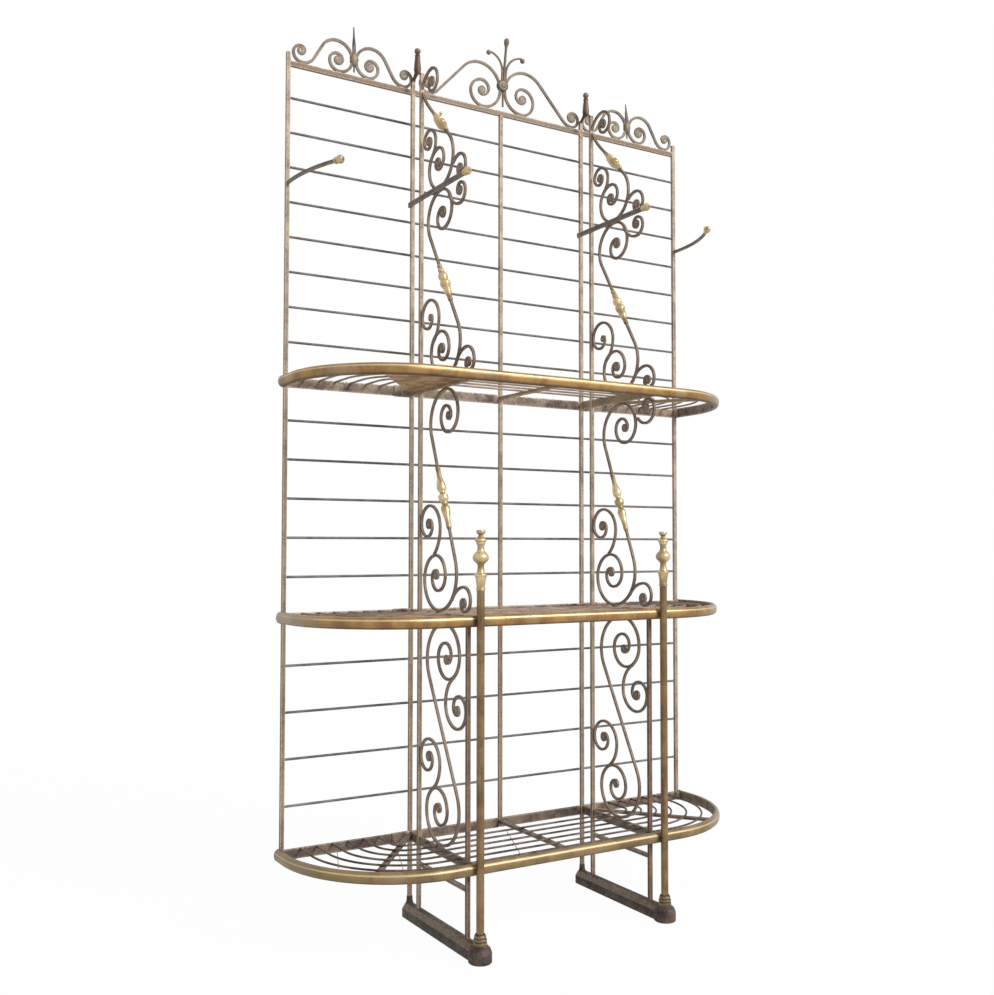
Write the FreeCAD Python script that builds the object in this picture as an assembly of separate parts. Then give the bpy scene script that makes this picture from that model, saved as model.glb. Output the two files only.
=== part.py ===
import FreeCAD, Part
import math
import os

"""A baker's rack: an open iron stand with three bow-ended wire shelves edged in brass,
two side brackets of scroll work, a crest along the top rail and two brass columns.

x runs along the rack from its middle, "out" is the distance forward of the back panel,
and z is the height above the floor.  Everything is in millimetres.

Bent bars and turned pieces are drawn as runs of flats that meet on the true curve.
"""

# ------------------------------------------------------------------ driving dimensions
# bar stock
stile_bar = 9.5             # square bar of the uprights
rail_height = 12.5          # top rail, on edge
rail_depth = 9.5
rod_bar = 6.0               # cross rods of the back panel
scroll_bar = 6.5            # scroll bar, measured in the plane of the scroll
scroll_depth = 6.0          # the same bar, measured across that plane
crest_bar = 6.0             # bar of the crest scrolls, in their plane
wire_bar = 5.0              # shelf wires
eye_radius = 6.3            # rolled end at the heart of every scroll
eye_sides = 6               # flats round a rolled end
bend_sag = 2.6              # how far a flat of a bent bar may lie inside its curve
turned_sag = 1.1            # the same for turned pieces

# plan of the frame
outer_stile_x = 580.0       # outer stiles either side of the middle
bracket_x = 255.3           # plane of each side bracket
bracket_stile_out = 48.8    # second upright of a bracket
post_out = 286.2            # short front post
column_out = 341.3          # brass column
column_radius = 8.2

# heights of the frame, one above the other
bottom_shelf_top = 206.5    # top of the edging
lower_rise = 537.0          # bottom shelf to middle shelf
middle_rise = 544.0         # middle shelf to top shelf
upper_rise = 454.5          # wires of the top shelf to where the upper scrolls end
top_rise = 309.5            # from there to the tops of the uprights
stile_overrun = 20.0        # uprights stand this far above the top rail
arm_drop = 0.5              # arms below the meeting of the scrolls
strut_height = 138.6        # tie between bracket stile and front post
rod_rows = {                # rods in each row, first above the wires, last below the next rail
    "lower": {"count": 4, "rise": 96.9, "drop": 99.0},
    "middle": {"count": 5, "rise": 82.2, "drop": 78.4},
    "upper": {"count": 8, "rise": 81.9, "drop": 75.2},
}

# shelves
edging_height = 26.0
edging_depth = 9.5
rim_depth = 3.5
edging_section = (          # (share of the depth, share of the height below the top)
    (0, 0), (0.45, 0), (1, 0.2), (1, 0.38), (0.5, 0.56), (0.8, 0.62), (0.8, 0.93), (0.5, 1), (0, 1))
cap_profile = ((0, 1), (6, 0.95), (11, 0.45))            # (length, share of the section)
cap_sides = 8
shelf_out = 333.1           # front of the edging
corner_radius = 252.0       # plan radius of the edging at the two front corners
wire_drop = 2.5             # wires lie this far below the top of the edging
wire_count = 6
wire_corner_x = 304.0       # the wires turn about this point in plan
wire_corner_out = 70.0
wire_reach = 231.0          # radius of the outermost wire
wire_pitch = 39.0
back_rail_height = 24.0
back_rail_depth = 4.0
bearer_height = 22.0
bearer_width = 4.0
underbar_height = 8.0       # flat bars that cross below the wires
underbar_width = 12.0
underbar_end_x = 470.0      # where a splayed bar meets the rim
splice_length = 45.0
splice_height = 28.0
splice_depth = 3.0
splice_offset = 30.0        # stile face to the near end of a splice

# feet
foot_width = 36.0
foot_height = 33.0
foot_shoulder = 21.0        # height at which the top of the foot starts to slope in
foot_flat = 16.0            # width left flat on top
foot_bulb_radius = 26.0
foot_bulb_height = 37.0
foot_flare_radius = 15.0
foot_flare_height = 50.0
base_height = 24.0          # turned base below each column
column_rise = 48.5          # columns stand this far above the middle shelf
finial_height = 131.6

# Everything is drawn from the plane of the back panel, then set so that the middle
# of the footprint is the origin.
back_reach = foot_width / 2
front_reach = column_out + foot_bulb_radius
back_y = (front_reach - back_reach) / 2

# ------------------------------------------------------------------ derived places
half_stile = stile_bar / 2
half_scroll = scroll_bar / 2
rim_out = shelf_out - edging_depth              # outer face of the iron rim
rim_inner_out = rim_out - rim_depth
rim_x = outer_stile_x + half_stile              # inner face of the rim, on the stiles
middle_shelf_top = bottom_shelf_top + lower_rise
top_shelf_top = middle_shelf_top + middle_rise
shelf_tops = {"bottom": bottom_shelf_top, "middle": middle_shelf_top, "top": top_shelf_top}
meet_height = top_shelf_top - wire_drop + upper_rise
arm_height = meet_height - arm_drop
stile_top = meet_height + top_rise
rail_top = stile_top - stile_overrun
column_top = middle_shelf_top + column_rise


def bearer_top(shelf):
    return shelf_tops[shelf] - wire_drop


def bearer_bottom(shelf):
    return bearer_top(shelf) - bearer_height


# ------------------------------------------------------------------ small tools
def place(x, out, z):
    """A point of the rack, from its distance along, forward and up."""
    return FreeCAD.Vector(x, back_y - out, z)


def block(x0, x1, out0, out1, z0, z1):
    """A square-edged bar or plate between two corners."""
    corner = place(min(x0, x1), max(out0, out1), min(z0, z1))
    return Part.makeBox(abs(x1 - x0), abs(out1 - out0), abs(z1 - z0), corner)


def upright(x, out, z0, z1, width=stile_bar):
    """A square upright about a plan centre."""
    half = width / 2
    return block(x - half, x + half, out - half, out + half, z0, z1)


def oval(middle, across, along, half_across, half_along, corners):
    """Corners of a ring about a point, reaching out by the two half sizes."""
    ring = []
    for count in range(corners):
        angle = math.tau * count / corners
        sideways = across * (half_across * math.cos(angle))
        ring.append(middle + sideways + along * (half_along * math.sin(angle)))
    return ring


def outline(corners):
    return Part.Face(Part.makePolygon(corners + corners[:1]))


def skin(rings):
    """The solid whose flat faces join each ring of corners to the next."""
    faces = [outline(rings[0]), outline(rings[-1])]
    for low, high in zip(rings[:-1], rings[1:]):
        for here in range(len(low)):
            there = (here + 1) % len(low)
            faces.append(outline([low[here], low[there], high[there], high[here]]))
    solid = Part.Solid(Part.Shell(faces))
    if solid.Volume < 0:
        solid.reverse()
    return solid


def turned(x, out, z0, profile, axis=FreeCAD.Vector(0, 0, 1)):
    """A turned piece: profile is (distance along the axis, radius), with straight flanks."""
    side = FreeCAD.Vector(1, 0, 0) if abs(axis.y) > 0.9 else FreeCAD.Vector(0, -1, 0)
    side = side - axis * side.dot(axis)
    side.normalize()
    widest = max(radius for _, radius in profile)
    corners = 4 * math.ceil(math.pi / 4 / math.acos(1 - turned_sag / widest))
    foot = place(x, out, z0)
    return skin([oval(foot + axis * along, side, axis.cross(side), radius, radius, corners)
                 for along, radius in profile])


def cut_all(piece, *tools):
    """The piece with the tools taken away, keeping its largest solid."""
    result = piece.cut(list(tools))
    return max(result.Solids, key=lambda solid: solid.Volume)


class Plane:
    """A flat drawing plane: u runs along it, v up it, and off is its normal."""

    def __init__(self, origin, along, up=FreeCAD.Vector(0, 0, 1)):
        self.origin = origin
        self.along = along
        self.up = up
        self.off = along.cross(up)

    def at(self, u, v, w=0.0):
        return self.origin + self.along * u + self.up * v + self.off * w

    def plate(self, corners, depth, offset=0.0):
        """The flat plate with these corners, centred on the plane or its offset."""
        face = outline([self.at(u, v, offset - depth / 2) for u, v in corners])
        return face.extrude(self.off * depth)


def bracket_plane(side):
    """The plane of one bracket: u is the distance out and v the height."""
    return Plane(place(side * bracket_x, 0, 0), FreeCAD.Vector(0, -1, 0))


panel_plane = Plane(place(0, 0, 0), FreeCAD.Vector(1, 0, 0))
floor_plane = Plane(place(0, 0, 0), FreeCAD.Vector(1, 0, 0), FreeCAD.Vector(0, -1, 0))


# ------------------------------------------------------------------ scroll paths
# A path is a list of pieces: ("line", start, end) or ("arc", centre, radius, from, to).
# Angles are in radians and grow to the left, and every piece starts where the last
# one ends, in the same direction.
QUARTER = math.pi / 2


def polar(centre, radius, angle):
    return (centre[0] + radius * math.cos(angle), centre[1] + radius * math.sin(angle))


def wind(start, heading, turn, radii, first=1.0):
    """Quarter arcs of the given radii, one after another, all to one side.

    turn is +1 to the left and -1 to the right; first is the share of a quarter turn
    that the first arc makes.
    """
    path = []
    point = start
    for count, radius in enumerate(radii):
        normal = heading + turn * QUARTER
        centre = polar(point, radius, normal)
        begin = normal + math.pi
        sweep = turn * QUARTER * (first if count == 0 else 1.0)
        path.append(("arc", centre, radius, begin, begin + sweep))
        heading += sweep
        point = polar(centre, radius, begin + sweep)
    return path


def reverse(path):
    flipped = []
    for piece in path[::-1]:
        if piece[0] == "line":
            flipped.append(("line", piece[2], piece[1]))
        else:
            flipped.append(("arc", piece[1], piece[2], piece[4], piece[3]))
    return flipped


def start_of(path):
    piece = path[0]
    return piece[1] if piece[0] == "line" else polar(piece[1], piece[2], piece[3])


def end_of(path):
    piece = path[-1]
    return piece[2] if piece[0] == "line" else polar(piece[1], piece[2], piece[4])


def heading_of(piece, at_end):
    if piece[0] == "line":
        return math.atan2(piece[2][1] - piece[1][1], piece[2][0] - piece[1][0])
    turn = 1 if piece[4] > piece[3] else -1
    return (piece[4] if at_end else piece[3]) + turn * QUARTER


def bridge(centre1, radius1, turn1, centre2, radius2, turn2):
    """Ends and heading of the straight run that leaves one circle and enters another."""
    du, dv = centre2[0] - centre1[0], centre2[1] - centre1[1]
    across = turn2 * radius2 - turn1 * radius1
    run = math.sqrt(du * du + dv * dv - across * across)
    heading = math.atan2(dv, du) - math.atan2(across, run)
    start = polar(centre1, -turn1 * radius1, heading + QUARTER)
    end = polar(centre2, -turn2 * radius2, heading + QUARTER)
    return start, end, heading


def volute(start, heading, turn, radii, stop_heading):
    """A volute entered on its outer circle, whose first arc runs on to the stop heading."""
    share = turn * (stop_heading - heading) / QUARTER % 4
    return wind(start, heading, turn, radii, share)


def s_scroll(upper, lower):
    """A bar rolled up at both ends, with a straight run between the two volutes.

    Each end is (centre, quarter radii from the outside in).
    """
    (centre1, radii1), (centre2, radii2) = upper, lower
    start, end, heading = bridge(centre1, radii1[0], 1, centre2, radii2[0], -1)
    head = volute(start, heading + math.pi, -1, radii1, 0.0)
    tail = volute(end, heading, -1, radii2, math.pi)
    return reverse(head) + [("line", start, end)] + tail


def stations(path):
    """The corners of the flats along a path, each with the heading of the path there."""
    marks = []
    for piece in path:
        if piece[0] == "line":
            heading = heading_of(piece, False)
            marks += [(piece[1], heading), (piece[2], heading)]
            continue
        _, centre, radius, begin, end = piece
        turn = 1 if end > begin else -1
        flats = math.ceil(abs(end - begin) / (2 * math.acos(1 - bend_sag / radius)) - 1e-9)
        for count in range(flats + 1):
            angle = begin + (end - begin) * count / flats
            marks.append((polar(centre, radius, angle), angle + turn * QUARTER))
    tidy = marks[:1]
    for point, heading in marks[1:]:
        if math.dist(point, tidy[-1][0]) > 1e-6:
            tidy.append((point, heading))
    return tidy


def rolled_end(tip, heading, width):
    """Corners of the snub knob that closes the end of a scroll, from left to right."""
    back = math.sqrt(eye_radius ** 2 - width ** 2 / 4)
    middle = polar(tip, back, heading)
    half_angle = math.pi - math.atan2(width / 2, back)
    share = 2 * half_angle / eye_sides
    return [polar(middle, eye_radius, heading + half_angle - share * count) for count in range(1, eye_sides)]


def bent_bar(plane, path, width, depth, eyes=(False, False), offset=0.0, aside=0.0):
    """A bar of rectangular section that follows the path, or runs aside of it to its left.

    eyes says whether the start and the end of the bar are rolled.
    """
    marks = stations(path)
    left = [polar(point, aside + width / 2, heading + QUARTER) for point, heading in marks]
    right = [polar(point, aside - width / 2, heading + QUARTER) for point, heading in marks]
    corners = list(left)
    if eyes[1]:
        corners += rolled_end(*marks[-1], width)
    corners += right[::-1]
    if eyes[0]:
        corners += rolled_end(marks[0][0], marks[0][1] + math.pi, width)
    return plane.plate(corners, depth, offset)


# ------------------------------------------------------------------ back panel
def rails_between(z0, z1, out0, out1, stiles):
    """Flat bars let in between neighbouring uprights of the back panel."""
    spans = zip(stiles[:-1], stiles[1:])
    return [block(x0 + half_stile, x1 - half_stile, out0, out1, z0, z1) for x0, x1 in spans]


def back_uprights():
    low = bearer_bottom("bottom")
    return {
        "outer_stile_left": [upright(-outer_stile_x, 0, low, stile_top)],
        "outer_stile_right": [upright(outer_stile_x, 0, low, stile_top)],
        "inner_stile_left": [upright(-bracket_x, 0, foot_flare_height, stile_top)],
        "inner_stile_right": [upright(bracket_x, 0, foot_flare_height, stile_top)],
        "centre_stile": [upright(0, 0, low, rail_top - rail_height)],
    }


def back_cross_bars():
    all_stiles = (-outer_stile_x, -bracket_x, 0, bracket_x, outer_stile_x)
    posts = (-outer_stile_x, -bracket_x, bracket_x, outer_stile_x)
    half = rod_bar / 2
    parts = {"top_rail": rails_between(rail_top - rail_height, rail_top,
                                       -rail_depth / 2, rail_depth / 2, posts)}
    levels = {
        "lower": (bearer_top("bottom"), bearer_bottom("middle")),
        "middle": (bearer_top("middle"), bearer_bottom("top")),
        "upper": (bearer_top("top"), rail_top - rail_height),
    }
    for name, row in rod_rows.items():
        low, high = levels[name][0] + row["rise"], levels[name][1] - row["drop"]
        rods = []
        for count in range(row["count"]):
            z = low + (high - low) * count / (row["count"] - 1)
            rods += rails_between(z - half, z + half, -half, half, all_stiles)
        parts["back_rods_" + name] = rods
    parts["rail_splices"] = []
    for shelf in shelf_tops:
        top = bearer_top(shelf)
        parts["back_rail_" + shelf] = rails_between(top - back_rail_height, top,
                                                    -back_rail_depth / 2, back_rail_depth / 2, all_stiles)
        middle = top - back_rail_height / 2
        near = bracket_x + half_stile
        for side in (-1, 1):
            parts["rail_splices"].append(
                block(side * near, side * (near + splice_length),
                      back_rail_depth / 2, back_rail_depth / 2 + splice_depth,
                      middle - splice_height / 2, middle + splice_height / 2))
    return parts


# ------------------------------------------------------------------ shelves
def bow_path(half_width, front, radius, back=0.0):
    """Plan of a bow-ended band: side, corner arc, front, corner arc, side."""
    x, out = half_width - radius, front - radius
    return [
        ("line", (-half_width, back), (-half_width, out)),
        ("arc", (-x, out), radius, math.pi, QUARTER),
        ("line", (-x, front), (x, front)),
        ("arc", (x, out), radius, QUARTER, 0.0),
        ("line", (half_width, out), (half_width, back)),
    ]


def band_path():
    """Where the brass edging meets the iron rim behind it."""
    return bow_path(rim_x + rim_depth, rim_out, corner_radius - edging_depth)


def edging(shelf):
    """Brass edging: a full bead above a groove, with a flat band below."""
    rings = []
    for point, heading in stations(band_path()):
        ring = []
        for depth_share, drop_share in edging_section:
            x, out = polar(point, edging_depth * depth_share, heading + QUARTER)
            ring.append(place(x, out, shelf_tops[shelf] - edging_height * drop_share))
        rings.append(ring)
    return skin(rings)


def rim(shelf):
    """The iron band inside the edging."""
    return bent_bar(floor_plane, band_path(), rim_depth, edging_height,
                    offset=edging_height / 2 - shelf_tops[shelf], aside=-rim_depth / 2)


def end_caps(shelf):
    """The rounded plugs that close the two back ends of the edging."""
    z = shelf_tops[shelf] - edging_height / 2
    half_depth = (rim_depth + edging_depth) / 2
    across, up = FreeCAD.Vector(1, 0, 0), FreeCAD.Vector(0, 0, 1)
    caps = []
    for side in (-1, 1):
        x = side * (rim_x + half_depth)
        caps.append(skin([oval(place(x, -length, z), across, up, half_depth * share,
                               edging_height / 2 * share, cap_sides) for length, share in cap_profile]))
    return caps


def wires(shelf):
    height = bearer_top(shelf) - wire_bar / 2
    bars = []
    for count in range(wire_count):
        radius = wire_reach - wire_pitch * count
        path = bow_path(wire_corner_x + radius, wire_corner_out + radius, radius, back_rail_depth / 2)
        bars.append(bent_bar(floor_plane, path, wire_bar, wire_bar, offset=-height))
    return bars


def bearers(shelf, wire_solids, neighbours):
    """Flats on edge in the planes of the brackets, notched for the wires, and three
    flat bars that cross below the wires."""
    z0, z1 = bearer_bottom(shelf), bearer_top(shelf)
    half = bearer_width / 2
    stops = [half_stile, bracket_stile_out - half_stile, bracket_stile_out + half_stile]
    if shelf == "bottom":
        stops += [post_out - half_stile, post_out + half_stile]
    stops.append(rim_inner_out)
    flats = []
    for side in (-1, 1):
        x = side * bracket_x
        for out0, out1 in zip(stops[::2], stops[1::2]):
            flats.append(cut_all(block(x - half, x + half, out0, out1, z0, z1), *wire_solids))
    top = z1 - wire_bar
    bars = [block(-underbar_width / 2, underbar_width / 2, half_stile, rim_inner_out,
                  top - underbar_height, top)]
    inner_radius = corner_radius - edging_depth - rim_depth
    corner_x = rim_x - inner_radius
    corner_out = rim_inner_out - inner_radius
    end_out = corner_out + math.sqrt(inner_radius ** 2 - (underbar_end_x - corner_x) ** 2)
    for side in (-1, 1):
        start, end = (side * bracket_x, 0.0), (side * underbar_end_x, end_out)
        heading = math.atan2(end[1] - start[1], end[0] - start[0])
        path = [("line", start, polar(end, rim_depth, heading))]
        splay = bent_bar(floor_plane, path, underbar_width, underbar_height, offset=underbar_height / 2 - top)
        bars.append(cut_all(splay, *flats, *neighbours))
    return flats + bars


def shelf_parts(shelf, standing):
    wire_solids = wires(shelf)
    rim_solid = rim(shelf)
    return {
        "edging_" + shelf: [edging(shelf)],
        "rim_" + shelf: [rim_solid],
        "wires_" + shelf: wire_solids,
        "bearers_" + shelf: bearers(shelf, wire_solids, [rim_solid] + standing),
    }


# ------------------------------------------------------------------ brackets: uprights, feet, columns
def foot(side):
    """One cast foot: a ridged rail with a rounded heel, a flare and a front bulb."""
    half, flat = foot_width / 2, foot_flat / 2
    x = side * bracket_x
    section = [(-half, 0), (half, 0), (half, foot_shoulder), (flat, foot_height),
               (-flat, foot_height), (-half, foot_shoulder), (-half, 0)]
    face = Part.Face(Part.makePolygon([place(x + u, 0, z) for u, z in section]))
    body = face.extrude(FreeCAD.Vector(0, -column_out, 0))
    heel = turned(x, 0, 0, ((0, half), (foot_shoulder, half), (foot_height, flat)))
    flare = turned(x, 0, foot_shoulder, spread(flare_profile, foot_flare_height - foot_shoulder))
    toe = turned(x, column_out, 0, spread(bulb_profile, foot_bulb_height))
    return body.fuse([heel, flare, toe]).removeSplitter().Solids[0]


# Turnings, as (height above the foot of the piece, radius).
flare_profile = ((0, 15), (12, 12.8), (29, 7.1))
bulb_profile = ((0, foot_bulb_radius), (20, foot_bulb_radius), (31, 22), (37, 15.6))
base_profile = (
    (0, 15), (6.5, 15), (8, 12.6), (9.5, 14.4), (13.5, 14.4), (15, 12), (16.5, 13), (19.5, 13), (24, 10.8))
finial_profile = (
    (0, 9.6), (11.6, 9.3), (26.6, 11.6), (31.6, 13.7), (34.6, 13.7), (37, 10), (52, 5.5), (60, 10.5),
    (66, 16.8), (72, 17.8), (78, 15.5), (86, 8.8), (97.6, 7.5), (102, 9.9), (105, 9.9), (107, 12.6),
    (110.6, 12.6), (120.6, 5.1), (124, 8.9), (131.6, 8.9))


def spread(profile, length):
    """A turning profile stretched to the given length."""
    share = length / profile[-1][0]
    return [(height * share, radius) for height, radius in profile]


def side_parts(side):
    name = "left" if side < 0 else "right"
    x = side * bracket_x
    base_top = foot_bulb_height + base_height
    column = Part.makeCylinder(column_radius, column_top - base_top, place(x, column_out, base_top))
    return {
        "foot_" + name: [foot(side)],
        "bracket_stile_" + name: [upright(x, bracket_stile_out, foot_height, stile_top)],
        "front_post_" + name: [upright(x, post_out, foot_height, bearer_bottom("middle"))],
        "column_" + name: [column],
        "column_finial_" + name: [turned(x, column_out, column_top, spread(finial_profile, finial_height))],
    }


def foot_strut(side):
    """The square tie between the second upright of a bracket and its front post."""
    x = side * bracket_x
    return block(x - half_stile, x + half_stile, bracket_stile_out + half_stile, post_out - half_stile,
                 strut_height - half_stile, strut_height + half_stile)


def column_base(side):
    return turned(side * bracket_x, column_out, foot_bulb_height, spread(base_profile, base_height))


# ------------------------------------------------------------------ brackets: scroll work
# Each volute has the quarter radii of its winding, from the outside in, and the reach of
# its outer circle's centre from the back of the bay (in the lower bay's head, the front).
lower_volute = {"reach": 105.5, "radii": (87.1, 70.7, 55.5, 46.4, 35.8, 26.2, 20.2, 9.2)}
middle_foot_volute = {"reach": 91.6, "radii": (86.7, 71.3, 57.4, 46.6, 35.9, 29.0, 18.5)}
middle_head_volute = {"reach": 126.2, "radii": (77.4, 57.0, 44.7, 37.3, 25.5, 22.5, 9.9)}
upper_foot_volute = {"reach": 115.4, "radii": (77.7, 64.5, 46.7, 41.8, 28.0, 23.0, 15.3)}
upper_head_volute = {"reach": 98.3, "radii": (66.0, 52.8, 42.7, 27.5, 24.0, 12.2)}
top_volute = {"reach": 91.1, "radii": (65.9, 53.2, 45.0, 27.9, 24.8, 15.6, 11.0)}

# A curl starts at its first extreme point, a reach from the back of the bay and a rise
# above its foot (or a drop below its head).  Its radii are those of the quarters that
# follow, and the lead arc, a share of a quarter, brings it there from the bar it grows from.
lower_curl = {"reach": 100.4, "rise": 184.2, "radii": (52.6, 43.2, 31.4, 27.0, 16.5, 10.3),
              "lead": 67.6, "share": 0.75}
middle_back_curl = {"reach": 98.6, "rise": 191.7, "radii": (52.7, 42.4, 32.6, 21.1, 9.0),
                    "lead": 57.8, "share": 0.65}
middle_front_curl = {"reach": 213.0, "rise": 61.7, "radii": (29.2, 15.0), "lead": 66.6, "share": 0.65}
upper_back_curl = {"reach": 89.5, "rise": 150.2, "radii": (48.0, 38.2, 29.2, 22.8, 8.0),
                   "lead": 66.3, "share": 0.66}
upper_front_curl = {"reach": 223.4, "rise": 59.1, "radii": (33.8, 21.1), "lead": 55.2, "share": 0.74}
hung_curl = {"reach": 223.4, "drop": 62.2, "radii": (33.4, 22.3), "lead": 40.4, "share": 0.58}
arm_curl = {"reach": 189.6, "drop": 59.5, "radii": (25.0, 22.2, 7.3), "lead": 56.0, "share": 0.77}
top_back_curl = {"reach": 69.6, "rise": 124.0, "radii": (34.5, 31.8, 14.0, 9.0), "lead": 42.0, "share": 0.66}
top_front_curl = {"reach": 186.5, "rise": 55.2, "radii": (29.3, 21.4, 15.4), "lead": 42.1, "share": 0.51}
stile_curl = {"reach": 45.4, "rise": 17.9, "radii": (31.9, 24.5, 11.4), "lead": 48.0, "share": 0.8}
top_lead_radius = 240.0
top_lead_slope = 0.264
top_run_slope = 0.776


def bay(level):
    """Back, front, foot and head of one bay of the bracket."""
    back = bracket_stile_out + half_stile
    front = post_out - half_stile
    return {
        "lower": (back, front, bearer_top("bottom"), bearer_bottom("middle")),
        "middle": (back, front, bearer_top("middle"), bearer_bottom("top")),
        "upper": (back, front, bearer_top("top"), meet_height),
        "top": (back, front, meet_height, stile_top),
    }[level]


def foot_end(level, size):
    back, _, low, _ = bay(level)
    return ((back + size["reach"], low + half_scroll + size["radii"][0]), size["radii"])


def head_end(level, size):
    back, _, _, high = bay(level)
    return ((back + size["reach"], high - half_scroll - size["radii"][0]), size["radii"])


def curl_path(point, heading, turn, size):
    lead = reverse(wind(point, heading + math.pi, -turn, (size["lead"],), size["share"]))
    return lead + wind(point, heading, turn, size["radii"])


def turned_over(path, centre):
    """The path after half a turn about a point."""
    flipped = []
    for piece in path:
        if piece[0] == "line":
            ends = [(2 * centre[0] - p[0], 2 * centre[1] - p[1]) for p in piece[1:]]
            flipped.append(("line", *ends))
        else:
            middle = (2 * centre[0] - piece[1][0], 2 * centre[1] - piece[1][1])
            flipped.append(("arc", middle, piece[2], piece[3] + math.pi, piece[4] + math.pi))
    return flipped


def main_paths():
    """The three long scrolls and the drop of a bracket, keyed by bay."""
    back, front, _, high = bay("lower")
    radii = lower_volute["radii"]
    lower_head = ((front - lower_volute["reach"], high - half_scroll - radii[0]), radii)
    paths = {
        "lower": s_scroll(lower_head, foot_end("lower", lower_volute)),
        "middle": s_scroll(head_end("middle", middle_head_volute), foot_end("middle", middle_foot_volute)),
        "upper": s_scroll(head_end("upper", upper_head_volute), foot_end("upper", upper_foot_volute)),
    }
    centre, radii = foot_end("top", top_volute)
    entry = polar(centre, radii[0], QUARTER - top_run_slope)
    tail = volute(entry, -top_run_slope, -1, radii, math.pi)
    # the run is as long as it takes for the lead arc to come out of the stile
    lead_length = top_lead_radius * (math.sin(top_run_slope + top_lead_slope) - math.sin(top_run_slope))
    run = (entry[0] - back - lead_length) / math.cos(top_run_slope)
    head = polar(entry, run, math.pi - top_run_slope)
    lead = reverse(wind(head, math.pi - top_run_slope, -1, (top_lead_radius,), top_lead_slope / QUARTER))
    paths["top"] = lead + [("line", head, entry)] + tail
    return paths


def curl_paths(side):
    """The small scrolls of a bracket: bay, path and where each springs from."""
    up, ahead = QUARTER, 0.0
    curls = {
        "lower": [(lower_curl, up, 1)],
        "middle": [(middle_back_curl, up, 1), (middle_front_curl, ahead, -1)],
        "upper": [(upper_back_curl, up, 1), (upper_front_curl, ahead, -1)],
        "top": [(top_back_curl, up, 1), (top_front_curl, ahead, -1)],
    }
    paths = {}
    for level, sizes in curls.items():
        back, front, low, high = bay(level)
        paths[level] = [curl_path((back + size["reach"], low + size["rise"]), heading, turn, size)
                        for size, heading, turn in sizes]
    back, front, low, high = bay("lower")
    paths["lower"].append(turned_over(paths["lower"][0], ((back + front) / 2, (low + high) / 2)))
    hanging = [("upper", arm_curl)]
    if side > 0:
        hanging.append(("middle", hung_curl))
    for level, size in hanging:
        back, front, low, high = bay(level)
        paths[level].append(curl_path((back + size["reach"], high - size["drop"]), ahead, 1, size))
    return paths


def stile_curl_path():
    back = bracket_stile_out + half_stile
    return curl_path((back + stile_curl["reach"], rail_top + stile_curl["rise"]), 0.0, -1, stile_curl)


# Brass knops threaded on the straight runs: (length, how far down the run from its
# middle, profile as shares of that length).
knops = {
    "middle": (162.0, 0.0, ((0, 5.4), (.17, 5.2), (.3, 9.0), (.36, 9.6), (.44, 5.5), (.48, 10.6),
                            (.53, 10.2), (.6, 5.9), (.68, 9.4), (.89, 5.4), (1, 5.6))),
    "upper": (114.0, 12.0, ((0, 5.4), (.2, 5.2), (.27, 9.4), (.42, 9.4), (.46, 8.0), (.5, 10.8),
                            (.6, 10.8), (.9, 5.4), (1, 5.6))),
    "top": (88.0, 6.0, ((0, 5.2), (.2, 7.5), (.32, 10.8), (.44, 10.4), (.5, 11.2), (.66, 11.8),
                        (.85, 7), (1, 5.2))),
}


def knop(side, level, path, bar):
    """The knop on the straight run of a main scroll."""
    plane = bracket_plane(side)
    length, slide, profile = knops[level]
    run = next(piece for piece in path if piece[0] == "line")
    heading = heading_of(run, False)
    middle = ((run[1][0] + run[2][0]) / 2, (run[1][1] + run[2][1]) / 2)
    foot_point = polar(middle, slide - length / 2, heading)
    axis = plane.at(*polar(middle, 1, heading)) - plane.at(*middle)
    whole = [(share * length, radius) for share, radius in profile]
    return cut_all(turned(side * bracket_x, *foot_point, whole, axis), bar)


def scroll_parts(side):
    name = "left" if side < 0 else "right"
    plane = bracket_plane(side)
    curls = curl_paths(side)
    stile = upright(side * bracket_x, bracket_stile_out, foot_height, stile_top)
    parts = {"knops_" + name: []}
    for level, path in main_paths().items():
        main = bent_bar(plane, path, scroll_bar, scroll_depth, (level != "top", True))
        if level == "top":
            main = cut_all(main, stile)
        bars = [main]
        for curl in curls[level]:
            bars.append(cut_all(bent_bar(plane, curl, scroll_bar, scroll_depth, (False, True)), main))
        if level == "top":
            stile_bent = bent_bar(plane, stile_curl_path(), scroll_bar, scroll_depth, (False, True))
            bars.append(cut_all(stile_bent, stile))
        parts["scrolls_" + level + "_" + name] = bars
        if level in knops:
            parts["knops_" + name].append(knop(side, level, path, main))
    return parts


# ------------------------------------------------------------------ crest
wing_shift = 3.6            # a wing's crest sits this far in from the middle of its bay
crest_shift = 5.0           # and the middle crest this far to the right of the centre stile
wing_centre = (outer_stile_x + bracket_x) / 2 - wing_shift
# Half a crest scroll, drawn about its own middle: quarter radii of the inner winding
# from its heart outwards, radii of the back and the arch that follow, gap from the
# middle, reach of the point where the outer curl stands on the rail, radius by which it
# comes down to there, and its quarter radii.
wing_crest = {"heart": (14.3, 18.6, 24.7), "back": 33.5, "arch": 40.9, "gap": 4.8, "reach": 131.8,
              "entry": 33.6, "outer": (21.8, 17.8)}
middle_crest = {"heart": (18.0, 20.3, 32.8, 36.4), "back": 51.6, "arch": 62.0, "gap": 7.0, "reach": 218.6,
                "entry": 36.5, "outer": (21.3, 17.7, 7.9)}
boss_profile = ((0, 1), (2, 1), (5, 0.45))              # (depth, share of the outline)
boss_sides = 12
wing_boss = (40.4, 10.5, 17.5)              # middle above the rail, half width, half height
middle_boss = (69.0, 14.4, 14.8)
spike_foot_rise = 10.0      # foot of a spike above the rail
spike_lengths = {"left": 111.0, "right": 97.0}
spike_leans = {"left": -1.5, "right": -4.5}
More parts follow.
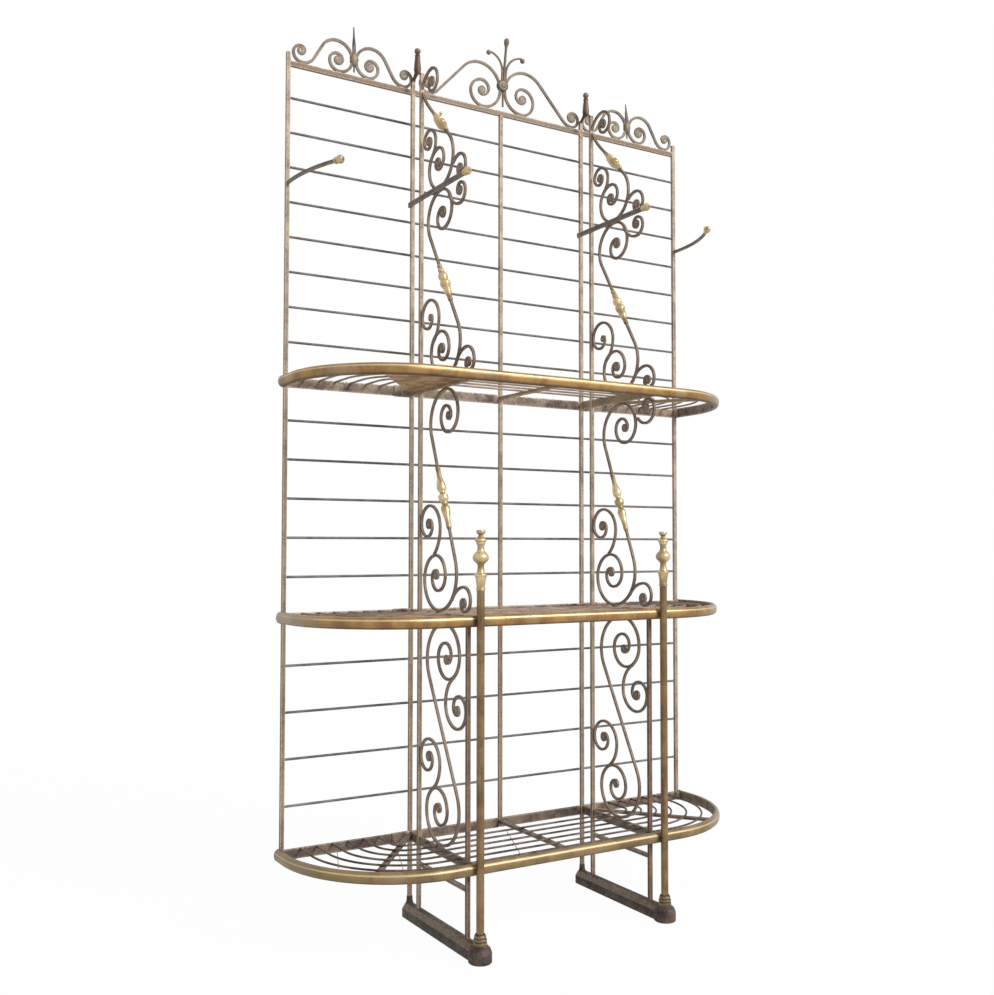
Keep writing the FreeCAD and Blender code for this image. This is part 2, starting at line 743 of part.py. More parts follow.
spike_tail, spike_root = 40.0, 49.0         # the slim tail ends, the widest point, above the foot
spike_radii = (2.6, 5.0, 0.8)               # tail, root and tip
leaning_sides = 8
plume_foot_rise = 14.0
plume_profile = (                           # (height above its foot, radius, lean to the right)
    (0, 2.5, 1.2), (41, 2.5, 1.4), (55, 2.6, 2.8), (80, 2.6, 5.5), (104, 2.8, 6.5), (129, 3, 8.7),
    (155, 3, 11), (163, 4, 11.8), (171, 6, 12.6), (176, 7, 13.1), (181, 6.4, 13.4), (184.8, 3, 13.6))
# A tendril rises beside the plume, bends outwards and ends in a ball: start and foot of
# its bend, from the middle crest's middle and above the rail, then bend radius and angle.
tendril_bar = 4.6
tendrils = {
    "left": {"start": (-2.0, 73.0), "foot": (-0.2, 108.0), "radius": 42.7, "bend": 1.47, "droop": 0.7},
    "right": {"start": (8.0, 73.0), "foot": (11.5, 108.0), "radius": 52.2, "bend": -1.37, "droop": -1.05},
}
ball_profile = ((-6.0, 2.2), (-4.2, 4.8), (0, 6.3), (4.2, 4.8), (6.0, 2.2))   # (height, radius)


def half_crest(shape):
    """One half of a crest scroll, to the right of its own middle."""
    low = rail_top + crest_bar / 2
    # up inside, over, down and round below to the inner side, then up and over again
    back, arch = shape["back"], shape["arch"]
    land, entry = shape["reach"], shape["entry"]
    bottom = (shape["gap"] + back, low)
    winding = reverse(wind(bottom, 0.0, 1, shape["heart"][::-1]))
    outer_side = wind(bottom, math.pi, -1, (back, arch))
    shoulder = end_of(outer_side)
    arch_centre = (shoulder[0], shoulder[1] - arch)
    leave, meet, heading = bridge(arch_centre, arch, -1, (land, low + entry), entry, 1)
    lean = wind(shoulder, 0.0, -1, (arch,), -heading / QUARTER)
    curl = wind(meet, heading, 1, (entry,), -heading / QUARTER)
    curl += wind((land, low), 0.0, 1, shape["outer"])
    return winding + outer_side + lean + [("line", leave, meet)] + curl


def mirrored(path, shift):
    """The path turned over about an upright line, then moved along."""
    flipped = []
    for piece in path:
        if piece[0] == "line":
            flipped.append(("line", *[(shift - p[0], p[1]) for p in piece[1:]]))
        else:
            centre = (shift - piece[1][0], piece[1][1])
            flipped.append(("arc", centre, piece[2], math.pi - piece[3], math.pi - piece[4]))
    return flipped


def moved(path, shift):
    return mirrored(mirrored(path, 0.0), shift)


def crest_pair(shape, centre):
    half = half_crest(shape)
    return [bent_bar(panel_plane, path, crest_bar, scroll_depth, (True, True))
            for path in (moved(half, centre), mirrored(half, centre))]


def boss(centre, size, side):
    """A domed boss of rounded outline, lying on the front or the back of the crest bars."""
    rise, half_width, half_height = size
    across, up = FreeCAD.Vector(1, 0, 0), FreeCAD.Vector(0, 0, 1)
    rings = []
    for depth, share in boss_profile:
        middle = place(centre, side * (scroll_depth / 2 + depth), rail_top + rise)
        rings.append(oval(middle, across, up, half_width * share, half_height * share, boss_sides))
    return skin(rings)


def leaning(centre, foot_z, profile):
    """A slim upright piece of level rings: profile is (height, radius, lean to the right)."""
    across, ahead = FreeCAD.Vector(1, 0, 0), FreeCAD.Vector(0, -1, 0)
    rings = []
    for height, radius, lean in profile:
        middle = place(centre + lean, 0, foot_z + height)
        rings.append(oval(middle, ahead, across, radius, radius, leaning_sides))
    return skin(rings)


def tendril(size):
    """A bar that rises beside the plume and bends out to a ball."""
    start, foot_point = [(crest_shift + u, rail_top + v) for u, v in (size["start"], size["foot"])]
    turn = 1 if size["bend"] > 0 else -1
    run = ("line", start, foot_point)
    share = abs(size["bend"]) / QUARTER
    path = [run] + wind(foot_point, heading_of(run, True), turn, (size["radius"],), share)
    bar = bent_bar(panel_plane, path, tendril_bar, scroll_depth)
    ball_radius = max(radius for _, radius in ball_profile)
    x, z = polar(end_of(path), ball_radius, heading_of(path[-1], True) + size["droop"])
    return bar.fuse(turned(x, 0, z, ball_profile)).removeSplitter().Solids[0]


def crest_parts():
    bars = crest_pair(middle_crest, crest_shift)
    parts = {"crest_scrolls_centre": bars}
    bosses = [boss(crest_shift, middle_boss, side) for side in (-1, 1)]
    plume = leaning(crest_shift, rail_top + plume_foot_rise, plume_profile)
    stem = cut_all(plume, *bosses, *bars)
    parts["crest_plume"] = [stem]
    for size in tendrils.values():
        parts["crest_plume"].append(cut_all(tendril(size), stem, *bosses, *bars))
    spikes = []
    for name, x in (("left", -wing_centre), ("right", wing_centre)):
        bars = crest_pair(wing_crest, x)
        parts["crest_scrolls_" + name] = bars
        wing_bosses = [boss(x, wing_boss, side) for side in (-1, 1)]
        tail, root, tip = spike_radii
        spike = leaning(x, rail_top + spike_foot_rise,
                        ((0, tail, 0), (spike_tail, tail, 0), (spike_root, root, 0),
                         (spike_lengths[name], tip, spike_leans[name])))
        spikes.append(cut_all(spike, *wing_bosses, *bars))
        bosses += wing_bosses
    parts["crest_spikes"] = spikes
    parts["crest_bosses"] = bosses
    return parts


# The saddle finials, from the top of the uprights.
saddle_toe = 3.0
saddle_arch = 12.0          # rise of the arch between the legs
saddle_shoulder = 20.0
saddle_neck = 62.0
saddle_wide, saddle_slim = 7.2, 5.4         # half widths at the shoulder and the neck
saddle_knob = ((0, 4.6), (3, 3.2), (4, 5), (8, 6.6), (11, 6.2), (14.7, 3))


def saddle_finial(side):
    """A small brass finial whose two legs stand on the two uprights of a bracket."""
    middle = bracket_stile_out / 2
    back, front = -half_stile, bracket_stile_out + half_stile
    foot_z = stile_top
    corners = [
        (back, foot_z), (back, foot_z + saddle_toe), (middle - saddle_wide, foot_z + saddle_shoulder),
        (middle - saddle_slim, foot_z + saddle_neck), (middle + saddle_slim, foot_z + saddle_neck),
        (middle + saddle_wide, foot_z + saddle_shoulder), (front, foot_z + saddle_toe), (front, foot_z)]
    span = middle - half_stile
    for count in range(5):
        angle = math.pi * count / 4
        corners.append((middle + span * math.cos(angle), foot_z + saddle_arch * math.sin(angle)))
    yoke = bracket_plane(side).plate(corners, stile_bar)
    knob = turned(side * bracket_x, middle, foot_z + saddle_neck, saddle_knob)
    return yoke.fuse(knob).removeSplitter().Solids[0]


# ------------------------------------------------------------------ arms
outer_arm_height, outer_arm_depth = 8.0, 6.0
inner_arm_height, inner_arm_depth = 12.5, 5.0
outer_arm_reach = {"left": 190.0, "right": 205.0}
outer_arm_swing = {"left": 38.0, "right": 62.0}
inner_arm_reach = 276.0
arm_knob_profile = ((0, 5.5), (2, 7.6), (5, 7.6), (7, 5), (14, 9.2), (19, 9.2), (26, 3))


def outer_arm(side):
    """A bar that leaves the outer upright straight ahead and bends in towards the middle."""
    name = "left" if side < 0 else "right"
    reach, swing = outer_arm_reach[name], outer_arm_swing[name]
    radius = (reach * reach + swing * swing) / (2 * swing)
    sweep = math.asin(reach / radius)
    start = (side * outer_stile_x, half_stile)
    path = wind(start, QUARTER, side, (radius,), sweep / QUARTER)
    bar = bent_bar(floor_plane, path, outer_arm_depth, outer_arm_height, offset=-arm_height)
    tip, heading = end_of(path), heading_of(path[-1], True)
    return bar, tip, heading


def arm_parts():
    parts = {}
    knobs = []
    for side, name in ((-1, "left"), (1, "right")):
        bar, tip, heading = outer_arm(side)
        parts["outer_arm_" + name] = [bar]
        ends = [(tip, heading)]
        # the inner arm lies against the outer side, away from the right, of its bracket
        x = side * bracket_x - half_stile - inner_arm_depth / 2
        half, rise = inner_arm_depth / 2, inner_arm_height / 2
        parts["inner_arm_" + name] = [block(x - half, x + half, -half_stile, inner_arm_reach,
                                            arm_height - rise, arm_height + rise)]
        ends.append(((x, inner_arm_reach), QUARTER))
        for tip, heading in ends:
            axis = FreeCAD.Vector(math.cos(heading), -math.sin(heading), 0)
            knobs.append(turned(tip[0], tip[1], arm_height, arm_knob_profile, axis))
    parts["arm_knobs"] = knobs
    return parts


# ------------------------------------------------------------------ the whole rack
def rack():
    parts = back_uprights()
    parts.update(back_cross_bars())
    for side in (-1, 1):
        parts.update(side_parts(side))
    parts["foot_struts"] = [foot_strut(side) for side in (-1, 1)]
    parts["column_bases"] = [column_base(side) for side in (-1, 1)]
    standing = [solids[0] for name, solids in parts.items() if "stile" in name or "post" in name]
    standing += parts["rail_splices"]
    parts["edging_caps"] = []
    for shelf in shelf_tops:
        parts.update(shelf_parts(shelf, standing + parts["back_rail_" + shelf]))
        parts["edging_caps"] += end_caps(shelf)
    for side in (-1, 1):
        parts.update(scroll_parts(side))
    parts.update(crest_parts())
    parts["saddle_finials"] = [saddle_finial(side) for side in (-1, 1)]
    parts.update(arm_parts())
    return parts


os.makedirs("parts", exist_ok=True)
for node, solids in rack().items():
    Part.makeCompound(solids).exportStep("parts/" + node + ".step")
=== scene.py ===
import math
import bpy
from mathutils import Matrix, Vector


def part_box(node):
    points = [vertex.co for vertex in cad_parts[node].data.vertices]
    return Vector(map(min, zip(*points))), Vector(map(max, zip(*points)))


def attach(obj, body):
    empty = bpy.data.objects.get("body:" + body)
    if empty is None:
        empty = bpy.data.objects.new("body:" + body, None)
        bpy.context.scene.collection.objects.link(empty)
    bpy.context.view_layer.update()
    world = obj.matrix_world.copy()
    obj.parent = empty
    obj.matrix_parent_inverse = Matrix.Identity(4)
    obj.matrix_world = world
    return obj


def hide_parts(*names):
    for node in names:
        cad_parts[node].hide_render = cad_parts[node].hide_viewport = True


bl_info = {
    "name": "Bakers Rack",
    "version": (1, 0, 0),
    "blender": (4, 5, 0),
    "location": "View3D > Sidebar > Bakers Rack",
    "description": "Dresses a bakers rack: iron bars and scrolls, brass edging, columns and finials",
    "category": "Object",
}

from functools import cached_property

import bpy
import numpy as np
from mathutils import Matrix

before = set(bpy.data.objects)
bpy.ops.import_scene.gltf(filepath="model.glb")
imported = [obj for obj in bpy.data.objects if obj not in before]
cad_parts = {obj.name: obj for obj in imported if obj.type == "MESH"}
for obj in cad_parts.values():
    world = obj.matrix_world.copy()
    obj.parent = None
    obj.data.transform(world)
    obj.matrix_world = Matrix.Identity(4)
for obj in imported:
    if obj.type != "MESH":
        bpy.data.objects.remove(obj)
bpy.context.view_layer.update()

# ------------------------------------------------------------------ places, in millimetres
MM = 0.001
QUARTER = math.pi / 2


def box_mm(node):
    """Lowest and highest corner of a node of the frame, in millimetres."""
    low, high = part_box(node)
    return np.array(low) / MM, np.array(high) / MM


def middle_of(node):
    """Middle of a node's box, in millimetres."""
    low, high = box_mm(node)
    return (low + high) / 2


BACK_Y = middle_of("centre_stile")[1]
BRACKET_X = middle_of("inner_stile_right")[0]
OUTER_X = middle_of("outer_stile_right")[0]
COLUMN_OUT = BACK_Y - middle_of("column_right")[1]
BRACKET_OUT = BACK_Y - middle_of("bracket_stile_right")[1]
POST_OUT = BACK_Y - middle_of("front_post_right")[1]
STILE_TOP = box_mm("outer_stile_right")[1][2]
RAIL_TOP = box_mm("top_rail")[1][2]
SIDES = ((-1, "left"), (1, "right"))
SHELVES = ("bottom", "middle", "top")
SHELF_TOP = {shelf: box_mm("edging_" + shelf)[1][2] for shelf in SHELVES}
WIRE_TOP = {shelf: box_mm("wires_" + shelf)[1][2] for shelf in SHELVES}
BEARER_LOW = {shelf: box_mm("bearers_" + shelf)[0][2] for shelf in SHELVES}
HALF_STILE = 4.75
EDGING_HEIGHT, EDGING_DEPTH, RIM_DEPTH = 26.0, 9.5, 3.5
SHELF_HALF = box_mm("edging_top")[1][0]
SHELF_OUT = BACK_Y - box_mm("edging_top")[0][1]
# Plan radii of the left and right corners of each shelf, which were bent by hand.
CORNERS = {"bottom": (293.0, 284.0), "middle": (262.0, 293.0), "top": (253.0, 270.0)}
# Heights at which the upper scrolls meet the top ones, and of the arms.
MEET_Z = 1739.5
ARM_Z = 1739.0
WING_X = middle_of("crest_scrolls_right")[0]
CREST_X = middle_of("crest_scrolls_centre")[0]


def row(x, out, z):
    """Points of the frame, in metres, from millimetres along, forward of the back and up."""
    x, out, z = np.broadcast_arrays(np.asarray(x, float), out, z)
    return np.stack([x, BACK_Y - out, z], -1) * MM


def bracket(side):
    """The plane of a bracket: u is the distance forward, v the height, w across it."""
    return lambda u, v, w: row(side * BRACKET_X + w, u, v)


def panel(u, v, w):
    """The plane of the back: u runs along it, v up, w forward."""
    return row(u, w, v)


def level(z):
    """The level plane at a height: u runs along the rack, v forward, w up."""
    return lambda u, v, w: row(u, v, z + w)


# ------------------------------------------------------------------ paths
# A path is a list of ("line", start, end) and ("arc", centre, radius, from, to).


def polar(centre, radius, angle):
    """The point at a distance and an angle from a centre."""
    return (centre[0] + radius * math.cos(angle), centre[1] + radius * math.sin(angle))


def wind(start, heading, turn, radii, first=1.0):
    """Quarter arcs of the given radii, one after another, all to one side: 1 is to the
    left and -1 to the right.  The first arc is the given share of a quarter."""
    path = []
    point = start
    for count, radius in enumerate(radii):
        normal = heading + turn * QUARTER
        centre = polar(point, radius, normal)
        begin = normal + math.pi
        sweep = turn * QUARTER * (first if count == 0 else 1.0)
        path.append(("arc", centre, radius, begin, begin + sweep))
        heading += sweep
        point = polar(centre, radius, begin + sweep)
    return path


def reverse(path):
    """The same path run the other way."""
    flipped = []
    for piece in path[::-1]:
        if piece[0] == "line":
            flipped.append(("line", piece[2], piece[1]))
        else:
            flipped.append(("arc", piece[1], piece[2], piece[4], piece[3]))
    return flipped


def end_of(path):
    """The last point of a path."""
    piece = path[-1]
    return piece[2] if piece[0] == "line" else polar(piece[1], piece[2], piece[4])


def end_heading(path):
    """The angle at which a path runs at its last point."""
    piece = path[-1]
    if piece[0] == "line":
        return math.atan2(piece[2][1] - piece[1][1], piece[2][0] - piece[1][0])
    return piece[4] + (QUARTER if piece[4] > piece[3] else -QUARTER)


def bridge(centre1, radius1, turn1, centre2, radius2, turn2):
    """Ends and heading of the straight run that leaves one circle and enters another."""
    du, dv = centre2[0] - centre1[0], centre2[1] - centre1[1]
    across = turn2 * radius2 - turn1 * radius1
    run = math.sqrt(du * du + dv * dv - across * across)
    heading = math.atan2(dv, du) - math.atan2(across, run)
    start = polar(centre1, -turn1 * radius1, heading + QUARTER)
    end = polar(centre2, -turn2 * radius2, heading + QUARTER)
    return start, end, heading


def volute(start, heading, turn, radii, stop_heading):
    """Arcs of the given radii: the first goes on until it runs at the stop heading, and
    every later one is a quarter."""
    share = turn * (stop_heading - heading) / QUARTER % 4
    return wind(start, heading, turn, radii, share)


def s_scroll(upper, lower):
    """A bar rolled up at both ends, each end given as (centre, quarter radii)."""
    (centre1, radii1), (centre2, radii2) = upper, lower
    start, end, heading = bridge(centre1, radii1[0], 1, centre2, radii2[0], -1)
    head = volute(start, heading + math.pi, -1, radii1, 0.0)
    tail = volute(end, heading, -1, radii2, math.pi)
    return reverse(head) + [("line", start, end)] + tail


def mirrored(path, shift):
    """The path with every place along it taken from the shift."""
    flipped = []
    for piece in path:
        if piece[0] == "line":
            flipped.append(("line", *[(shift - p[0], p[1]) for p in piece[1:]]))
        else:
            centre = (shift - piece[1][0], piece[1][1])
            flipped.append(("arc", centre, piece[2], math.pi - piece[3], math.pi - piece[4]))
    return flipped


def turned_over(path, centre):
    """The path turned half round about a centre."""
    flipped = []
    for piece in path:
        if piece[0] == "line":
            ends = [(2 * centre[0] - p[0], 2 * centre[1] - p[1]) for p in piece[1:]]
            flipped.append(("line", *ends))
        else:
            middle = (2 * centre[0] - piece[1][0], 2 * centre[1] - piece[1][1])
            flipped.append(("arc", middle, piece[2], piece[3] + math.pi, piece[4] + math.pi))
    return flipped


# Each quarter of an eye is this much of the one before it, and it has so many.
EYE_SHRINK, EYE_QUARTERS = 0.84, 8


def rolled(path, size):
    """The path with its last point rolled up into an eye: two turns of quarter arcs that
    shrink evenly, from the given radius or a little less than the last arc's."""
    piece = path[-1]
    turn = 1 if piece[4] > piece[3] else -1
    first = min(size, piece[2] * EYE_SHRINK)
    radii = [first * EYE_SHRINK ** count for count in range(EYE_QUARTERS)]
    return path + wind(end_of(path), end_heading(path), turn, radii)


# Longest step on a line, and lengths too short to count.
LINE_STEP, NO_LENGTH = 20.0, 1e-4


def trace(path, flat=0.11):
    """Points (n, 2), headings (n) and lengths (n) along a path: angle steps under flat
    radians on arcs, and steps of 20 mm on lines."""
    points, headings = [], []
    for piece in path:
        if piece[0] == "line":
            run = math.dist(piece[1], piece[2])
            if run < NO_LENGTH:
                continue
            share = np.linspace(0, 1, max(2, int(run / LINE_STEP) + 1))[:, None]
            points.append(np.array(piece[1]) * (1 - share) + np.array(piece[2]) * share)
            angle = math.atan2(piece[2][1] - piece[1][1], piece[2][0] - piece[1][0])
            headings.append(np.full(len(share), angle))
        else:
            _, centre, radius, begin, end = piece
            angles = np.linspace(begin, end, max(2, math.ceil(abs(end - begin) / flat) + 1))
            spokes = np.stack([np.cos(angles), np.sin(angles)], -1)
            points.append(np.array(centre) + radius * spokes)
            headings.append(angles + (QUARTER if end > begin else -QUARTER))
    points, headings = np.concatenate(points), np.concatenate(headings)
    steps = np.linalg.norm(np.diff(points, axis=0), axis=1)
    keep = np.concatenate([[True], steps > NO_LENGTH])
    points, headings = points[keep], headings[keep]
    lengths = np.concatenate([[0], np.cumsum(np.linalg.norm(np.diff(points, axis=0), axis=1))])
    return points, headings, lengths


# ------------------------------------------------------------------ sections
# Points to a rounded corner, to each stretch of a turning, and round the edging's nose.
CORNER_STEPS, PROFILE_STEPS, NOSE_STEPS = 3, 5, 22


def soft_square(width, depth, soft):
    """A rounded rectangle, (corners, 2), and its wear: each corner is a quarter circle of
    the soft radius and counts as worn, and each flat has a middle point that doesn't."""
    half = np.array([width, depth]) / 2
    ring, worn = [], []
    signs = ((1, 1), (-1, 1), (-1, -1), (1, -1))
    flats = ((0, half[1]), (-half[0], 0), (0, -half[1]), (half[0], 0))
    for quarter in range(4):
        angle = np.linspace(0, QUARTER, CORNER_STEPS) + quarter * QUARTER
        centre = np.array(signs[quarter]) * (half - soft)
        ring.append(centre + soft * np.stack([np.cos(angle), np.sin(angle)], -1))
        ring.append(np.array([flats[quarter]]))
        worn += [1.0] * CORNER_STEPS + [0.0]
    return np.concatenate(ring), np.array(worn)


def round_section(radius, corners=14):
    """A circle, (corners, 2), counted as a little worn all round."""
    angle = np.linspace(0, 2 * math.pi, corners, endpoint=False)
    return radius * np.stack([np.cos(angle), np.sin(angle)], -1), np.full(corners, 0.4)


def smooth_profile(profile):
    """A turning profile (heights, radii) drawn as a smooth curve through its points: a
    cubic between neighbours whose slope at each point is the harmonic mean of the slopes
    on its two sides, or level where they differ in sign."""
    x, y = np.array(profile, float).T
    h = np.diff(x)
    slope = np.diff(y) / h
    m = np.zeros(len(x))
    m[0], m[-1] = slope[0], slope[-1]
    both = slope[:-1] * slope[1:] > 0
    m[1:-1][both] = 2 * slope[:-1][both] * slope[1:][both] / (slope[:-1][both] + slope[1:][both])
    t = np.linspace(0, 1, PROFILE_STEPS, endpoint=False)[None, :]
    h, y0, y1, m0, m1 = [v[:, None] for v in (h, y[:-1], y[1:], m[:-1], m[1:])]
    curve = ((2 * t ** 3 - 3 * t ** 2 + 1) * y0 + (t ** 3 - 2 * t ** 2 + t) * h * m0
             + (-2 * t ** 3 + 3 * t ** 2) * y1 + (t ** 3 - t ** 2) * h * m1)
    heights = (x[:-1, None] + h * t).ravel()
    return np.append(heights, x[-1]), np.append(curve.ravel(), y[-1])


# ------------------------------------------------------------------ meshes
SHARP_ANGLE = math.radians(50)


class Form:
    """Closed surfaces gathered into one mesh.  Each point carries two values that the
    finishes read: "along", the metres run along its bar, and "worn", from 0 to 1."""

    def __init__(self):
        self.points, self.faces, self.along, self.worn = [], [], [], []
        self.size = 0

    def add(self, grid, along, worn):
        """Rings of points, (rings, corners, 3) in metres.  Each ring is closed, and the two
        end rings are filled.  The faces are turned outwards by the sign of the volume."""
        rings, corners = grid.shape[:2]
        index = np.arange(rings * corners).reshape(rings, corners)
        there = np.roll(index, -1, axis=1)
        quads = np.stack([index[:-1], there[:-1], there[1:], index[1:]], -1).reshape(-1, 4)
        flat = grid.reshape(-1, 3) - grid.reshape(-1, 3).mean(0)
        a, b, c, d = [flat[quads[:, k]] for k in range(4)]
        volume = np.einsum("ij,ij->", a, np.cross(b, c)) + np.einsum("ij,ij->", a, np.cross(c, d))
        faces = quads.tolist() + [index[0, ::-1].tolist(), index[-1].tolist()]
        if volume < 0:
            faces = [face[::-1] for face in faces]
        self.faces += [[corner + self.size for corner in face] for face in faces]
        self.points.append(grid.reshape(-1, 3))
        shape = (rings, corners)
        self.along.append(np.broadcast_to(np.asarray(along, float), shape).ravel())
        self.worn.append(np.broadcast_to(np.asarray(worn, float), shape).ravel())
        self.size += rings * corners

    def bar(self, traced, plane, section, taper=None, aside=0.0, rubbed=0.0):
        """A section carried along a traced path: its first coordinate is laid off to the left of the path
        and its second across the plane; taper scales the section, and rubbed adds to the wear value,
        which on the scroll bars carries a painted highlight at their eyes."""
        points, headings, lengths = traced
        ring, worn = section
        scale = np.ones(len(points)) if taper is None else np.asarray(taper)
        off = ring[None, :, 0] * scale[:, None] + aside
        u = points[:, :1] - np.sin(headings)[:, None] * off
        v = points[:, 1:] + np.cos(headings)[:, None] * off
        w = ring[None, :, 1] * (0.5 + 0.5 * scale[:, None])
        wear = worn[None, :] + np.broadcast_to(rubbed, len(points))[:, None]
        self.add(plane(u, v, w), lengths[:, None] * MM, wear)

    def beam(self, low, high, axis, soft=0.8, step=40.0):
        """A straight bar with softened edges that fills the box between two corners."""
        low, high = np.array(low, float), np.array(high, float)
        across = [k for k in range(3) if k != axis]
        size = high - low
        soft = min(soft, size[across].min() * 0.45)
        ring, worn = soft_square(size[across[0]], size[across[1]], soft)
        count = max(2, int(size[axis] / step) + 1)
        grid = np.empty((count, len(ring), 3))
        grid[..., axis] = np.linspace(low[axis], high[axis], count)[:, None]
        for k in range(2):
            grid[..., across[k]] = ring[None, :, k] + (low[across[k]] + high[across[k]]) / 2
        self.add(grid * MM, grid[..., axis] * MM, worn[None, :])

    def turn(self, foot, axis, heights, radii, corners=28, flutes=0, depth=0.0, flat=1.0, worn=None):
        """A turned piece: ring i stands at foot + axis * height i, with radius i, times
        1 + depth * cos(flutes * angle); flat squeezes or stretches it along one way.  If no
        wear is given, it grows with the radius."""
        axis = np.array(axis, float) / np.linalg.norm(axis)
        side = np.array([1.0, 0, 0]) if abs(axis[0]) < 0.9 else np.array([0, 0, 1.0])
        side = side - axis * side.dot(axis)
        side /= np.linalg.norm(side)
        other = np.cross(axis, side)
        heights, radii = np.asarray(heights, float)[:, None], np.asarray(radii, float)[:, None]
        angle = np.linspace(0, 2 * math.pi, corners, endpoint=False)[None, :]
        reach = radii * (1 + depth * np.cos(flutes * angle))
        grid = (heights[..., None] * MM * axis + (reach * np.cos(angle))[..., None] * MM * side
                + (reach * np.sin(angle) * flat)[..., None] * MM * other)
        if worn is None:
            worn = np.clip((radii - radii.min()) / (np.ptp(radii) + 1e-6), 0, 1)
        self.add(grid + np.asarray(foot, float), heights * MM, worn)

    def turned(self, foot, axis, profile, corners=28, **details):
        """A turned piece whose radius is the smooth curve through (height, radius) pairs."""
        heights, radii = smooth_profile(profile)
        self.turn(foot, axis, heights, radii, corners, **details)

    def ball(self, centre, axis, radius, corners=20, stretch=1.0):
        """A ball whose rings run about the axis, drawn out along it by stretch: height and
        radius are the cosine and the sine of an angle."""
        angle = np.linspace(0.04, math.pi - 0.04, 11)
        self.turn(centre, axis, -np.cos(angle) * radius * stretch, np.sin(angle) * radius, corners)

    def piece(self, name, finish, nodes, slot):
        """The finished object, in the finish of that name: it rides on the frame and stands
        for the nodes."""
        mesh = bpy.data.meshes.new(name)
        mesh.from_pydata(np.concatenate(self.points).tolist(), [], self.faces)
        for title, values in (("along", self.along), ("worn", self.worn)):
            layer = mesh.attributes.new(title, "FLOAT", "POINT")
            layer.data.foreach_set("value", np.concatenate(values).astype(np.float32))
        mesh.polygons.foreach_set("use_smooth", np.ones(len(mesh.polygons), bool))
        mesh.set_sharp_from_angle(angle=SHARP_ANGLE)
        mesh.update()
        mesh.materials.append(finish_of(finish))
        thing = bpy.data.objects.new(name, mesh)
        bpy.context.scene.collection.objects.link(thing)
        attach(thing, "root")
        if nodes:
            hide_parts(*nodes)


# ------------------------------------------------------------------ scroll work
LOWER_VOLUTE = (105.5, (87.1, 70.7, 55.5, 46.4, 35.8, 26.2, 20.2, 9.2))
MIDDLE_FOOT = (91.6, (86.7, 71.3, 57.4, 46.6, 35.9, 29, 18.5))
MIDDLE_HEAD = (126.2, (77.4, 57, 44.7, 37.3, 25.5, 22.5, 9.9))
UPPER_FOOT = (115.4, (77.7, 64.5, 46.7, 41.8, 28, 23, 15.3))
UPPER_HEAD = (98.3, (66, 52.8, 42.7, 27.5, 24, 12.2))
TOP_VOLUTE = (91.1, (65.9, 53.2, 45, 27.9, 24.8, 15.6, 11))
# reach, rise above the foot or drop below the head, quarter radii, lead radius and share
LOWER_CURL = (100.4, 184.2, (52.6, 43.2, 31.4, 27, 16.5, 10.3), 67.6, 0.75)
MIDDLE_BACK_CURL = (98.6, 196.7, (52.7, 42.4, 31, 24, 16), 80.0, 0.58)
MIDDLE_FRONT_CURL = (213.0, 61.7, (29.2, 26, 17, 11), 66.6, 0.65)
UPPER_BACK_CURL = (89.5, 150.2, (48, 38.2, 29.2, 22.8, 8), 66.3, 0.66)
UPPER_FRONT_CURL = (223.4, 59.1, (33.8, 21.1, 17, 11), 55.2, 0.74)
HUNG_CURL = (223.4, 62.2, (33.4, 26, 18), 40.4, 0.58)
ARM_CURL = (189.6, 59.5, (25, 22.2, 15), 56.0, 0.77)
TOP_BACK_CURL = (69.6, 124.0, (34.5, 24, 20, 15), 42.0, 0.66)
TOP_FRONT_CURL = (186.5, 55.2, (29.3, 21.4, 15.4), 42.1, 0.51)
STILE_CURL = (45.4, 17.9, (31.9, 24.5, 20, 14), 48.0, 0.8)
# The top bar's lead is one arc: its radius, the angle it turns, and the slope of the run.
TOP_LEAD = (240.0, 0.264, 0.776)
BAY_BACK = BRACKET_OUT + HALF_STILE
BAY_FRONT = POST_OUT - HALF_STILE
BAYS = {
    "lower": (WIRE_TOP["bottom"], BEARER_LOW["middle"]),
    "middle": (WIRE_TOP["middle"], BEARER_LOW["top"]),
    "upper": (WIRE_TOP["top"], MEET_Z),
    "top": (MEET_Z, STILE_TOP),
}
# How far the middle of a scroll bar stays from the foot and the head of its bay.
HALF_SCROLL = 3.25


def foot_end(bay, size):
    """A main volute that stands on the foot of its bay: (centre, quarter radii)."""
    return ((BAY_BACK + size[0], BAYS[bay][0] + HALF_SCROLL + size[1][0]), size[1])


def head_end(bay, size):
    """A main volute that touches the head of its bay: (centre, quarter radii)."""
    return ((BAY_BACK + size[0], BAYS[bay][1] - HALF_SCROLL - size[1][0]), size[1])


def curl(point, heading, turn, size):
    """A lead, which is one arc that reaches a point, and quarter arcs that go on from it."""
    lead = reverse(wind(point, heading + math.pi, -turn, (size[3],), size[4]))
    return lead + wind(point, heading, turn, size[2])


